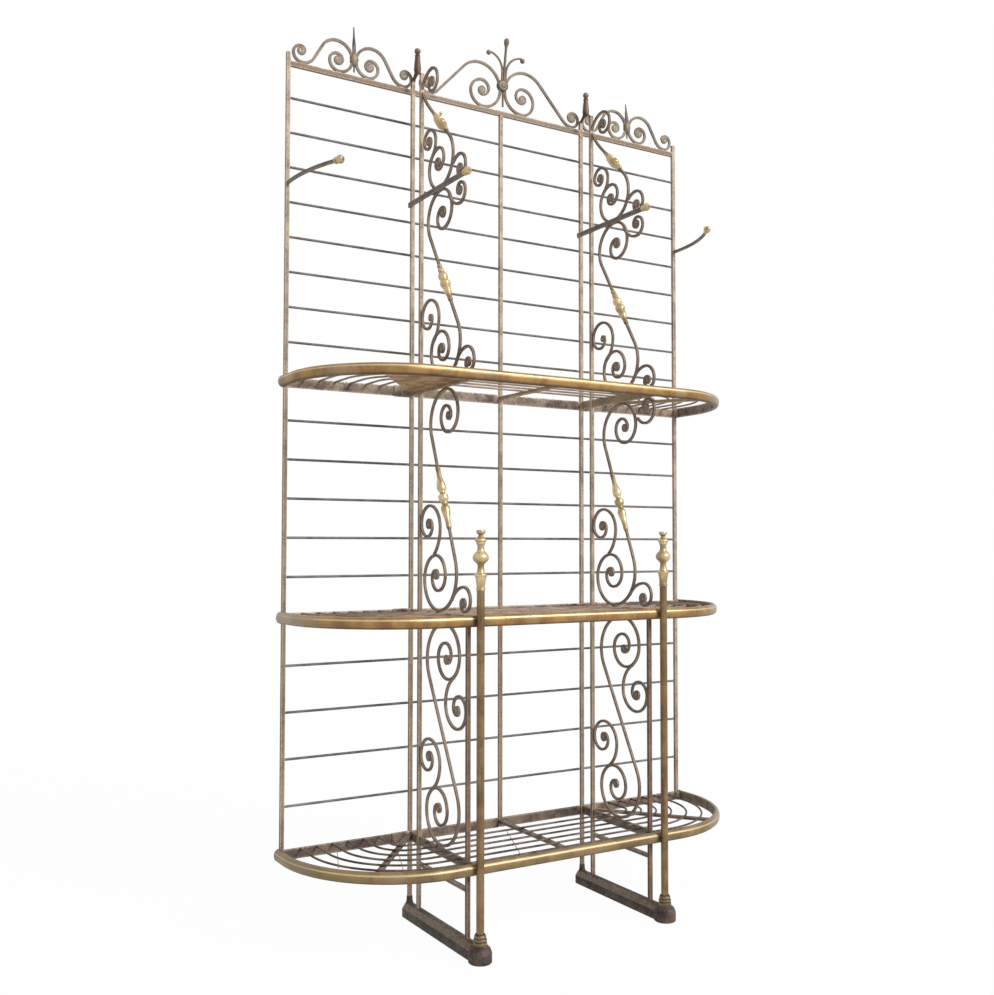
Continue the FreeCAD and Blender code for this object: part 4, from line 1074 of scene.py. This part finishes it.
class RACK_OT_bearers(RackPiece):
    """Bearers: flats on edge in the planes of the brackets, and flat bars that cross
    under the wires, all soft-edged bars between the uprights and the rim."""

    bl_idname = "rack.bearers"
    bl_label = "Shelf bearers"
    # The bars under the wires, how far along the splayed ones end, the flats' width, and the
    # plate's thickness and the bulge of its long edge.
    under_width, under_height, splay_x, flat_width = 12.0, 8.0, 470.0, 4.0
    plate_thick, plate_bulge = 1.5, 4.0

    def splay_end(self, side, shelf):
        """Where a splayed bar meets the inside of the rim, on the arc of the corner."""
        radius = CORNERS[shelf][side > 0]
        across = self.splay_x - SHELF_HALF + radius
        reach = math.sqrt((radius - EDGING_DEPTH - RIM_DEPTH) ** 2 - across ** 2)
        return np.array([side * self.splay_x, SHELF_OUT - radius + reach])

    def execute(self, context):
        rim_out = SHELF_OUT - EDGING_DEPTH - RIM_DEPTH
        for shelf in SHELVES:
            form = Form()
            low, high = BEARER_LOW[shelf], WIRE_TOP[shelf]
            stops = [HALF_STILE, BRACKET_OUT - HALF_STILE, BRACKET_OUT + HALF_STILE]
            if shelf == "bottom":
                stops += [POST_OUT - HALF_STILE, POST_OUT + HALF_STILE]
            stops.append(rim_out)
            half = self.flat_width / 2
            for side in (-1, 1):
                for out0, out1 in zip(stops[::2], stops[1::2]):
                    form.beam((side * BRACKET_X - half, BACK_Y - out1, low),
                              (side * BRACKET_X + half, BACK_Y - out0, high - 0.4), 1, 0.6)
            top = high - size_mm("wire")
            middle = top - self.under_height / 2
            section = soft_square(self.under_width, self.under_height, 0.8)
            form.bar(trace([("line", (0, HALF_STILE), (0, rim_out))]), level(middle), section)
            for side in (-1, 1):
                start, end = np.array([side * BRACKET_X, 0.0]), self.splay_end(side, shelf)
                ahead = (end - start) / np.linalg.norm(end - start)
                ends = (tuple(start + ahead * 8), tuple(end + ahead * RIM_DEPTH))
                form.bar(trace([("line", *ends)]), level(middle), section)
            finish = "strip_iron" if shelf == "bottom" else "under_iron"
            form.piece("bearer_bars_" + shelf, finish, ["bearers_" + shelf], "iron_strip")
        self.corner_plate(rim_out)
        return {"FINISHED"}

    def corner_plate(self, rim_out):
        """A thin triangle below the top shelf's left corner, between its two bearers."""
        tip = self.splay_end(-1, "top")
        top = WIRE_TOP["top"] - size_mm("wire") - self.under_height
        near = -BRACKET_X - 3
        middle = ((tip[0] - BRACKET_X) / 2, (rim_out + tip[1]) / 2 + self.plate_bulge)
        corners = np.array([(near, HALF_STILE + 2), (near, rim_out - 1), middle, tip])
        levels = np.array([[top - self.plate_thick], [top]])
        form = Form()
        form.add(row(corners[None, :, 0], corners[None, :, 1], levels), 0.0, 0.5)
        form.piece("corner_plate", "plate_iron", [], "iron_strip")


# ------------------------------------------------------------------ feet and columns
# The foot's half width, the heights of its shoulder and its flat top, and that flat's half
# width; then how far the heel's edge is rounded up.  Turnings are (height, radius) pairs.
FOOT_HALF, FOOT_SHOULDER, FOOT_TOP, FOOT_FLAT = 18.0, 21.0, 33.0, 8.0
HEEL_LIFT = 9.0
UP = (0.0, 0.0, 1.0)
FLARE = ((0, 14.5), (5, 12.6), (10, 10.2), (17, 7.9), (29, 6.8))
BULB = ((0, 24), (2, 26), (20, 26), (24, 25), (31, 22), (35, 17.5), (37, 15.6))
# The shaft's radius, and how far it rises above the top of its node.
COLUMN_RADIUS, COLUMN_RISE = 8.7, 6.5
BASE = ((0, 15), (3, 15.3), (6.5, 15), (8, 12.6), (9.5, 14.4), (11.5, 14.9), (13.5, 14.4), (15, 12),
        (16.5, 13), (18, 13.3), (19.5, 13), (22, 11.8), (24, 10.8))
FINIAL = ((0, 9.6), (1.4, 10.6), (3, 9.4), (4.6, 10.4), (6.4, 9), (11.6, 9.4), (20, 10.6),
          (26.6, 11.6), (29, 12.2), (31.6, 13.7), (33.2, 14.1), (34.6, 13.7), (37, 10), (44, 8),
          (52, 7), (56, 7.6), (60, 11), (66, 16.8), (70, 17.8), (72, 17.8), (78, 15.5), (86, 8.8),
          (92, 7.3), (97.6, 7.5), (99.5, 8.4), (102, 9.9), (103.5, 10.1), (105, 9.9), (107, 12.6),
          (108.8, 13), (110.6, 12.6), (116, 7), (120.6, 5.1), (124, 8.9), (128, 10.2), (131.4, 8.9))


class RACK_OT_feet(RackPiece):
    """Cast feet: a shouldered section carried forward, narrowed over the heel as a half
    circle in plan, with a turned flare round the upright and a turned bulb in front."""

    bl_idname = "rack.feet"
    bl_label = "Feet"

    def execute(self, context):
        half = np.array([(-FOOT_HALF + 1, 0), (-FOOT_HALF, 1), (-FOOT_HALF, FOOT_SHOULDER - 2),
                         (-FOOT_HALF + 1, FOOT_SHOULDER + .6), (-FOOT_FLAT - 1.5, FOOT_TOP - 1.3),
                         (-FOOT_FLAT + 1, FOOT_TOP), (0, FOOT_TOP)])
        section = np.concatenate([half, half[-2::-1] * (-1, 1)])
        worn = np.array([.2, .3, .5, 1, 1, .9, .5])
        worn = np.concatenate([worn, worn[-2::-1]])
        # Round the heel first, then straight on to the bulb.
        turn = np.linspace(0.06, QUARTER, 10)
        ahead = np.linspace(FOOT_HALF + 2, COLUMN_OUT, 12)
        out = np.concatenate([-FOOT_HALF * np.cos(turn), ahead])[:, None]
        narrow = np.concatenate([np.sin(turn), np.ones(len(ahead))])[:, None]
        for side, name in SIDES:
            form = Form()
            x = side * BRACKET_X
            slope = np.where(narrow < 1, 0.55 + 0.45 * narrow, 1.0)
            height = section[None, :, 1] * np.where(section[None, :, 1] > FOOT_SHOULDER, slope, 1.0)
            height = height + HEEL_LIFT * (1 - narrow) ** 2 * (1 - height / FOOT_TOP)
            form.add(row(x + section[None, :, 0] * narrow, out, height), out * MM, worn[None, :])
            form.turned(row(x, 0, FOOT_SHOULDER), UP, FLARE)
            form.turned(row(x, COLUMN_OUT, 0), UP, BULB, 40, worn=0.6)
            form.piece("cast_foot_" + name, "cast_iron", ["foot_" + name], "cast_feet")
        return {"FINISHED"}


class RACK_OT_columns(RackPiece):
    """Brass columns: a turned shaft, its turned base, and a finial whose radius is a
    smooth curve through the given points."""

    bl_idname = "rack.columns"
    bl_label = "Columns and finials"

    def execute(self, context):
        bases = Form()
        base_low = box_mm("column_bases")[0][2]
        for side, name in SIDES:
            low, high = box_mm("column_" + name)
            x, top = side * BRACKET_X, high[2] + COLUMN_RISE
            heights = np.linspace(0, top - low[2], 16)
            radii = np.full(len(heights), COLUMN_RADIUS)
            shaft = Form()
            shaft.turn(row(x, COLUMN_OUT, low[2]), UP, heights, radii, 32, worn=0.7)
            shaft.piece("column_shaft_" + name, "column_brass", ["column_" + name], "brass")
            bases.turned(row(x, COLUMN_OUT, base_low), UP, BASE, 32)
            finial = Form()
            finial.turned(row(x, COLUMN_OUT, top), UP, FINIAL, 36)
            finial.piece("turned_finial_" + name, "bright_brass", ["column_finial_" + name],
                         "brass")
        bases.piece("turned_bases", "base_brass", ["column_bases"], "brass")
        return {"FINISHED"}


# ------------------------------------------------------------------ bracket scrolls
# Lengths at the end of a bar over which it thins and over which its eye carries a painted highlight, laid
# on as extra wear, how thin it gets and how strong that highlight is; curls are a little less deep than
# the bars they leave.
THIN_TAIL, HIGHLIGHT_TAIL, THIN_END, EYE_HIGHLIGHT = 90.0, 28.0, 0.7, 0.9
CURL_DEPTH = 0.96


def scroll_bar(form, path, plane, width, depth, starts_rolled=False):
    """A scroll bar with its end, or both its ends, rolled up and a little thinned."""
    roll = size_mm("roll")
    path = rolled(path, roll)
    if starts_rolled:
        path = reverse(rolled(reverse(path), roll))
    traced = trace(path)
    left = traced[2][-1] - traced[2]
    if starts_rolled:
        left = np.minimum(left, traced[2])
    scale = thinned(left, THIN_TAIL, THIN_END)
    # Painted highlight at the eye's centre, added to the wear value.
    rubbed = EYE_HIGHLIGHT * np.clip(1 - left / HIGHLIGHT_TAIL, 0, 1)
    section = soft_square(width, depth, size_mm("soft_edge"))
    form.bar(traced, plane, section, scale, rubbed=rubbed)


class RACK_OT_scrolls(RackPiece):
    """Bracket scrolls: a soft-edged bar carried along runs and quarter arcs whose radii
    shrink towards each rolled end."""

    bl_idname = "rack.scrolls"
    bl_label = "Bracket scrolls"

    def execute(self, context):
        width, depth = size_mm("scroll_bar"), size_mm("scroll_depth")
        for side, name in SIDES:
            curls, plane = small_scrolls(side), bracket(side)
            for bay, path in main_scrolls().items():
                form = Form()
                scroll_bar(form, path, plane, width, depth, bay != "top")
                for small in curls[bay]:
                    scroll_bar(form, small, plane, width, depth * CURL_DEPTH)
                place = bay + "_" + name
                form.piece("scroll_bars_" + place, "scroll_iron", ["scrolls_" + place],
                           "iron_scroll")
        return {"FINISHED"}


class RACK_OT_knops(RackPiece):
    """Brass knops: turned profiles whose axis is the straight run that they sit on, and a
    thumbscrew in the uppermost on the left."""

    bl_idname = "rack.knops"
    bl_label = "Knops"

    def execute(self, context):
        for side, name in SIDES:
            form = Form()
            for bay, (length, slide, profile) in KNOPS.items():
                run = next(piece for piece in main_scrolls()[bay] if piece[0] == "line")
                start, end = np.array(run[1]), np.array(run[2])
                ahead = (end - start) / np.linalg.norm(end - start)
                foot = (start + end) / 2 + ahead * (slide - length / 2)
                whole = [(share * length, radius) for share, radius in profile]
                axis = (0, -ahead[0], ahead[1])
                form.turned(row(side * BRACKET_X, *foot), axis, whole, 36)
                if bay == "top" and side < 0:
                    aside = np.array([-ahead[1], ahead[0]]) * (1 if ahead[1] < 0 else -1)
                    screw = foot + ahead * length * SCREW_SHARE + aside * SCREW_OUT
                    form.turned(row(side * BRACKET_X, *screw), (0, -aside[0], aside[1]), THUMBSCREW, 14)
            form.piece("brass_knops_" + name, "bright_brass", ["knops_" + name], "brass")
        return {"FINISHED"}


# ------------------------------------------------------------------ crest
# Radii of the inner winding from its heart outwards, of the back and the arch, gap from the
# middle, reach of the outer curl, radius by which it comes down, and its quarter radii.
WING_CREST = ((14.3, 18.6, 24.7), (33.5, 40.9), 4.8, 131.8, 33.6, (21.8, 17.8))
MIDDLE_CREST = ((18, 20.3, 32.8, 36.4), (51.6, 62), 7.0, 218.6, 36.5, (21.3, 17.7, 13))


def half_crest(shape):
    """One half of a crest scroll, to the right of its own middle: up inside, over, down
    and round below to the inner side, then up and over again to the outer curl."""
    heart, (back, arch), gap, land, entry, outer = shape
    low = RAIL_TOP + size_mm("crest_bar") / 2
    bottom = (gap + back, low)
    winding = reverse(wind(bottom, 0.0, 1, heart[::-1]))
    outer_side = wind(bottom, math.pi, -1, (back, arch))
    shoulder = end_of(outer_side)
    centre = (shoulder[0], shoulder[1] - arch)
    leave, meet, heading = bridge(centre, arch, -1, (land, low + entry), entry, 1)
    lean = wind(shoulder, 0.0, -1, (arch,), -heading / QUARTER)
    curl_in = wind(meet, heading, 1, (entry,), -heading / QUARTER)
    curl_in += wind((land, low), 0.0, 1, outer)
    return winding + outer_side + lean + [("line", leave, meet)] + curl_in


class RACK_OT_crest(RackPiece):
    """Crest scrolls: pairs of bars drawn as quarter arcs, mirrored about their middles."""

    bl_idname = "rack.crest"
    bl_label = "Crest scrolls"

    def execute(self, context):
        for name, shape, x in (("left", WING_CREST, -WING_X), ("centre", MIDDLE_CREST, CREST_X),
                               ("right", WING_CREST, WING_X)):
            form = Form()
            half = half_crest(shape)
            for path in (mirrored(half, x), mirrored(mirrored(half, 0.0), x)):
                scroll_bar(form, path, panel, size_mm("crest_bar"), size_mm("scroll_depth"), True)
            form.piece("crest_bars_" + name, "crest_iron", ["crest_scrolls_" + name],
                       "iron_scroll")
        return {"FINISHED"}


class RACK_OT_bosses(RackPiece):
    """Bosses, front and back: a disc with a ring of beads and a button in the middle, and
    ribbed ovals on the wings whose radius is a dome times one plus a cosine of the angle."""

    bl_idname = "rack.bosses"
    bl_label = "Bosses"
    # Heights above the rail; an oval's half width, depth and lengthening; the rosette's beads.
    oval_rise, rosette_rise = 40.4, 69.0
    oval_half, oval_depth, oval_stretch = 10.3, 5.6, 1.68
    beads, bead_ring, bead_radius = 18, 13.0, 2.0
    disc = ((0, 14.2), (1.8, 14.4), (2.6, 13.0), (3.0, 9.0), (2.9, 7.8), (4.6, 5.6), (5.2, 3.0),
            (5.4, 0.4))

    def execute(self, context):
        form = Form()
        for side in (-1, 1):
            self.rosette(form, side)
            for x in (-WING_X, WING_X):
                foot = row(x, side * 2.2, RAIL_TOP + self.oval_rise)
                angle = np.linspace(0.0, 1.5, 8)
                heights, radii = np.sin(angle) * self.oval_depth, np.cos(angle) * self.oval_half
                form.turn(foot, (0, -side, 0), heights, radii, 32, flutes=9, depth=0.09,
                          flat=self.oval_stretch, worn=0.5)
        form.piece("brass_bosses", "fitting_brass", ["crest_bosses"], "brass")
        return {"FINISHED"}

    def rosette(self, form, side):
        """A domed disc, a ring of beads round its edge and a button."""
        front = size_mm("scroll_depth") / 2
        z = RAIL_TOP + self.rosette_rise
        heights, radii = np.array(self.disc).T
        form.turn(row(CREST_X, side * front, z), (0, -side, 0), heights, radii, 40, worn=0.6)
        for count in range(self.beads):
            angle = count * math.tau / self.beads
            ahead = (math.cos(angle), 0, math.sin(angle))
            x = CREST_X + self.bead_ring * ahead[0]
            centre = row(x, side * (front + 2.3), z + self.bead_ring * ahead[2])
            form.ball(centre, ahead, self.bead_radius, 10, 1.1)


class RACK_OT_spikes(RackPiece):
    """Spikes of the wings: four-ribbed tapers twisted along their height, that lean by an
    even share of their height."""

    bl_idname = "rack.spikes"
    bl_label = "Spikes"
    # Height of the blade's foot, depth of its four ribs and their turn in radians to the mm.
    blade_foot, rib_depth, twist = 43.0, 0.16, 0.16

    def execute(self, context):
        form = Form()
        foot_z, top = box_mm("crest_spikes")[0][2], box_mm("crest_spikes")[1][2]
        for x, tip, lean in ((-WING_X, top, -1.5), (WING_X, top - 14.0, -4.5)):
            length = tip - foot_z
            heights = np.concatenate([np.linspace(0, 40, 6), np.linspace(self.blade_foot, length, 44)])
            radii = np.interp(heights, (0, 36, 44, 49, 56, length - 2, length),
                              (2.2, 2.6, 4.2, 5, 4.5, 1.3, 0.5))
            off = np.interp(heights, (50, length), (0, lean))[:, None]
            angle = np.linspace(0, math.tau, 16, endpoint=False)[None, :]
            heights, radii = heights[:, None], radii[:, None]
            reach = radii * (1 + self.rib_depth * np.cos(4 * angle + self.twist * heights))
            grid = row(x + off + reach * np.cos(angle), reach * np.sin(angle), foot_z + heights)
            form.add(grid, heights * MM, np.clip(radii / 6, 0, 1))
        form.piece("iron_spikes", "spike_iron", ["crest_spikes"], "brass")
        return {"FINISHED"}


# The plume's stem as (height above its foot, radius, lean to the right), and the bars
# beside it: start and foot of the bend from the crest's middle and above the rail, bend
# radius, bend angle, how far the ball is turned from the bar's end, and its radius.
PLUME = ((0, 2.6, 1.2), (41, 2.8, 1.4), (55, 3.1, 2.8), (80, 3.3, 5.5), (104, 3.4, 6.5),
         (129, 3.4, 8.7), (150, 3.3, 10.6), (158, 3.5, 11.2), (163, 4.2, 11.8), (168, 5.7, 12.3),
         (173, 6.8, 12.9), (177, 7, 13.1), (181, 6.2, 13.4), (183.6, 4, 13.5), (184.8, 1.5, 13.6))
TENDRILS = (((-2.0, 73.0), (-0.2, 108.0), 42.7, 1.47, 0.7, 6.3),
            ((8.0, 73.0), (11.5, 108.0), 52.2, -1.37, -1.05, 6.5))
TENDRIL_RADIUS = 3.0


class RACK_OT_plume(RackPiece):
    """The plume: level rings whose radius and lean are smooth functions of the height,
    and beside it two round bars that bend outwards as arcs and end in balls."""

    bl_idname = "rack.plume"
    bl_label = "Plume"

    def execute(self, context):
        form = Form()
        foot_z = box_mm("crest_plume")[0][2]
        data = np.array(PLUME)
        heights, radii = smooth_profile(data[:, :2])
        lean = np.interp(heights, data[:, 0], data[:, 2])
        angle = np.linspace(0, math.tau, 24, endpoint=False)
        x = CREST_X + lean[:, None] + radii[:, None] * np.cos(angle)
        grid = row(x, radii[:, None] * np.sin(angle), foot_z + heights[:, None])
        form.add(grid, heights[:, None] * MM, np.clip(radii / 9, 0, 1)[:, None])
        for start, foot, radius, bend, droop, ball in TENDRILS:
            start, foot = [(CREST_X + u, RAIL_TOP + v) for u, v in (start, foot)]
            heading = math.atan2(foot[1] - start[1], foot[0] - start[0])
            path = [("line", start, foot)]
            path += wind(foot, heading, 1 if bend > 0 else -1, (radius,), abs(bend) / QUARTER)
            traced = trace(path, 0.08)
            left = traced[2][-1] - traced[2]
            form.bar(traced, panel, round_section(TENDRIL_RADIUS), thinned(left, 50, 0.8))
            x, z = polar(end_of(path), ball, end_heading(path) + droop)
            form.ball(row(x, 0, z), UP, ball, 24)
        form.piece("brass_plume", "fitting_brass", ["crest_plume"], "brass")
        return {"FINISHED"}


class RACK_OT_saddles(RackPiece):
    """Saddle finials: an arched outline carried across its plane with eased edges, and on
    it a turned cone with a ball."""

    bl_idname = "rack.saddles"
    bl_label = "Saddle finials"
    # Heights of the toes, of the arch below, of the shoulders and of the neck; half widths at
    # the shoulders and at the neck; how much the edges are eased; heights of cone and knob.
    toe, arch, shoulder, neck, wide, slim = 3.0, 12.0, 20.0, 26.0, 8.8, 7.8
    eased, cone_rise, knob_rise = 0.9, 6.0, 43.5
    cone = ((0, 7.5), (5, 9.0), (14, 8.4), (30, 6.9), (38, 6.2), (40, 7.0), (42, 6.0), (44.5, 4.0))
    knob = ((0, 3.6), (1.5, 4.8), (3.5, 6.6), (7, 7.7), (10.5, 7.4), (13.5, 5.4), (15.2, 2.4))

    def execute(self, context):
        form, knobs = Form(), Form()
        middle = BRACKET_OUT / 2
        back, front = -HALF_STILE, BRACKET_OUT + HALF_STILE
        rise = np.linspace(0, 1, 9)
        shoulder = middle - self.wide - (middle - self.wide - back) * (1 - rise) ** 2
        flank = [(u, self.toe + (self.shoulder - self.toe) * t ** 1.1) for u, t in zip(shoulder, rise)]
        flank += [(middle - self.slim, self.neck)]
        other = [(2 * middle - u, v) for u, v in flank[::-1]]
        angle = np.linspace(0, math.pi, 15)
        span = middle - HALF_STILE
        under = [(middle + span * math.cos(a), self.arch * math.sin(a)) for a in angle]
        outline = np.array([(back, 0.0)] + flank + other + [(front, 0.0)] + under)
        after, before = np.roll(outline, -1, 0), np.roll(outline, 1, 0)
        along = after - before
        along /= np.linalg.norm(along, axis=1)[:, None]
        inward = np.stack([along[:, 1], -along[:, 0]], -1)
        for side in (-1, 1):
            rings = []
            face = HALF_STILE - self.eased
            for w, inset in ((-HALF_STILE, self.eased), (-face, 0), (face, 0), (HALF_STILE, self.eased)):
                ring = outline + inward * inset
                rings.append(bracket(side)(ring[:, 0], STILE_TOP + np.maximum(ring[:, 1], 0), w))
            form.add(np.array(rings), 0.0, 0.7)
            foot = STILE_TOP + self.arch + self.cone_rise
            form.turned(row(side * BRACKET_X, middle, foot), UP, self.cone, 28)
            knobs.turned(row(side * BRACKET_X, middle, foot + self.knob_rise), UP, self.knob, 28)
        knobs.piece("saddle_knobs", "fitting_brass", [], "brass")
        form.piece("brass_saddles", "saddle_brass", ["saddle_finials"], "brass")
        return {"FINISHED"}


# ------------------------------------------------------------------ arms
# The outer arms: side, name, reach forward and swing inwards.
OUTER_ARMS = ((-1, "left", 190.0, 38.0), (1, "right", 205.0, 62.0))
ARM_KNOB = ((0, 5.5), (2, 7.6), (3.5, 7.9), (5, 7.6), (7, 5), (10, 7.4), (14, 9.2), (16.5, 9.6),
            (19, 9.2), (24, 6), (26, 2.5))


class RACK_OT_arms(RackPiece):
    """Arms of the top: soft-edged bars, the outer ones bent as one arc, each ending in a
    turned knob that points the way the bar does."""

    bl_idname = "rack.arms"
    bl_label = "Arms and knobs"

    def execute(self, context):
        knobs = Form()
        for side, name, reach, swing in OUTER_ARMS:
            form = Form()
            radius = (reach * reach + swing * swing) / (2 * swing)
            share = math.asin(reach / radius) / QUARTER
            path = wind((side * OUTER_X, HALF_STILE), QUARTER, side, (radius,), share)
            form.bar(trace(path, 0.03), level(ARM_Z), soft_square(6.0, 8.0, 0.9))
            form.piece("outer_arm_bar_" + name, "arm_iron", ["outer_arm_" + name], "iron_bar")
            self.knob(knobs, end_of(path), end_heading(path))
            node = "inner_arm_" + name
            low, high = box_mm(node)
            form = Form()
            form.beam(low, high, 1, 0.8)
            form.piece("inner_arm_bar_" + name, "arm_iron", [node], "iron_bar")
            self.knob(knobs, ((low[0] + high[0]) / 2, BACK_Y - low[1]), QUARTER)
        knobs.piece("brass_arm_knobs", "bright_brass", ["arm_knobs"], "brass")
        return {"FINISHED"}

    def knob(self, form, tip, heading):
        """A turned knob that goes on from the tip of an arm."""
        axis = (math.cos(heading), -math.sin(heading), 0)
        form.turned(row(tip[0], tip[1], ARM_Z), axis, ARM_KNOB, 24)


# ------------------------------------------------------------------ stage
# The eye: place in metres, turn from straight ahead, tilt up and roll in radians, lens in
# millimetres and the shift of the picture.
EYE = (-1.4495, -2.23075, 0.8977)
EYE_TURN, EYE_TILT, EYE_ROLL = 0.5440232, 0.0399574, 0.00084529
LENS, SHIFT, FILM_WIDTH = 39.469, (-0.00519, 0.00369), 36.0
# The key light's turn and its width in the sky; the floor's half size in metres, its tone
# and the share of the background that shows on it, which leaves the shadow.
SUN_TURN, SUN_ANGLE = (math.radians(58), 0.0, math.radians(26)), math.radians(18)
FLOOR_HALF, FLOOR_TONE, FLOOR_GLOW = 30.0, (0.9, 0.9, 0.9, 1.0), 0.97
WHITE = (1.0, 1.0, 1.0, 1.0)


def seen_share(finish):
    """1 for rays that show the background: from the eye, in gloss or through glass."""
    seen, gloss, glass = [finish.node("LightPath", output="Is " + ray + " Ray")
                          for ray in ("Camera", "Glossy", "Transmission")]
    return seen.math("MAXIMUM", gloss).math("MAXIMUM", glass)


class RACK_OT_stage(RackPiece):
    """The stage: a pale floor, a key light from the right, light from all round, and the
    eye."""

    bl_idname = "rack.stage"
    bl_label = "Stage"

    def execute(self, context):
        scene, light = bpy.context.scene, bpy.context.scene.rack_light
        mesh = bpy.data.meshes.new("floor")
        half = FLOOR_HALF
        corners = [(-half, -half, 0), (half, -half, 0), (half, half, 0), (-half, half, 0)]
        mesh.from_pydata(corners, [], [(0, 1, 2, 3)])
        finish = Finish(bpy.data.materials.new("pale_floor"))
        plain = finish.node("BsdfDiffuse", {}, {"Color": FLOOR_TONE})
        glow = finish.node("Emission", {}, {"Color": WHITE, "Strength": light.white})
        share = seen_share(finish) * FLOOR_GLOW
        surface = finish.node("MixShader", {}, {0: share, 1: plain, 2: glow})
        finish.node("OutputMaterial", {}, {"Surface": surface})
        mesh.materials.append(finish.owner)
        floor = bpy.data.objects.new("floor", mesh)
        scene.collection.objects.link(floor)
        sun = bpy.data.objects.new("key_light", bpy.data.lights.new("key_light", "SUN"))
        sun.data.energy, sun.data.angle = light.sun, SUN_ANGLE
        sun.rotation_euler = SUN_TURN
        scene.collection.objects.link(sun)
        self.surroundings(scene, light)
        eye = bpy.data.objects.new("eye", bpy.data.cameras.new("eye"))
        turn = Matrix.Rotation(-EYE_TURN, 4, "Z") @ Matrix.Rotation(QUARTER + EYE_TILT, 4, "X")
        eye.matrix_world = Matrix.Translation(EYE) @ turn @ Matrix.Rotation(EYE_ROLL, 4, "Z")
        eye.data.lens, eye.data.sensor_width = LENS, FILM_WIDTH
        eye.data.shift_x, eye.data.shift_y = SHIFT
        scene.collection.objects.link(eye)
        scene.camera = eye
        scene.view_settings.view_transform = "Standard"
        return {"FINISHED"}

    def surroundings(self, scene, light):
        """Even light from all round, behind a white background."""
        world = bpy.data.worlds.new("studio")
        finish = Finish(world)
        fill = finish.node("Background", {}, {"Color": WHITE, "Strength": light.fill})
        white = finish.node("Background", {}, {"Color": WHITE, "Strength": light.white})
        surface = finish.node("MixShader", {}, {0: seen_share(finish), 1: fill, 2: white})
        finish.node("OutputWorld", {}, {"Surface": surface})
        scene.world = world


PIECES = (RACK_OT_uprights, RACK_OT_rods, RACK_OT_rails, RACK_OT_edging, RACK_OT_rims, RACK_OT_wires,
          RACK_OT_bearers, RACK_OT_feet, RACK_OT_columns, RACK_OT_scrolls, RACK_OT_knops, RACK_OT_crest,
          RACK_OT_bosses, RACK_OT_spikes, RACK_OT_plume, RACK_OT_saddles, RACK_OT_arms, RACK_OT_stage)


class RACK_PT_panel(bpy.types.Panel):
    """Lists the pieces of the rack, its tones, its small sizes and its light."""

    bl_idname = "RACK_PT_panel"
    bl_label = "Bakers Rack"
    bl_space_type = "VIEW_3D"
    bl_region_type = "UI"
    bl_category = "Bakers Rack"

    def draw(self, context):
        for piece in PIECES:
            self.layout.operator(piece.bl_idname)
        for group in (context.scene.rack_sizes, context.scene.rack_colours, context.scene.rack_light):
            box = self.layout.box()
            for name in group.__annotations__:
                box.prop(group, name)


GROUPS = {"rack_sizes": RackSizes, "rack_colours": RackColours, "rack_light": RackLight}


def register():
    """Registers the classes and hangs the three groups on the scene."""
    for kind in (*GROUPS.values(), *PIECES, RACK_PT_panel):
        bpy.utils.register_class(kind)
    for name, group in GROUPS.items():
        setattr(bpy.types.Scene, name, bpy.props.PointerProperty(type=group))


def unregister():
    """Takes the groups off the scene and the classes out again."""
    for name in GROUPS:
        delattr(bpy.types.Scene, name)
    for kind in (RACK_PT_panel, *PIECES[::-1], *GROUPS.values()):
        bpy.utils.unregister_class(kind)


def main():
    """Makes every piece in order."""
    register()
    for piece in PIECES:
        getattr(bpy.ops.rack, piece.bl_idname.split(".")[1])()


if __name__ == "__main__":
    main()
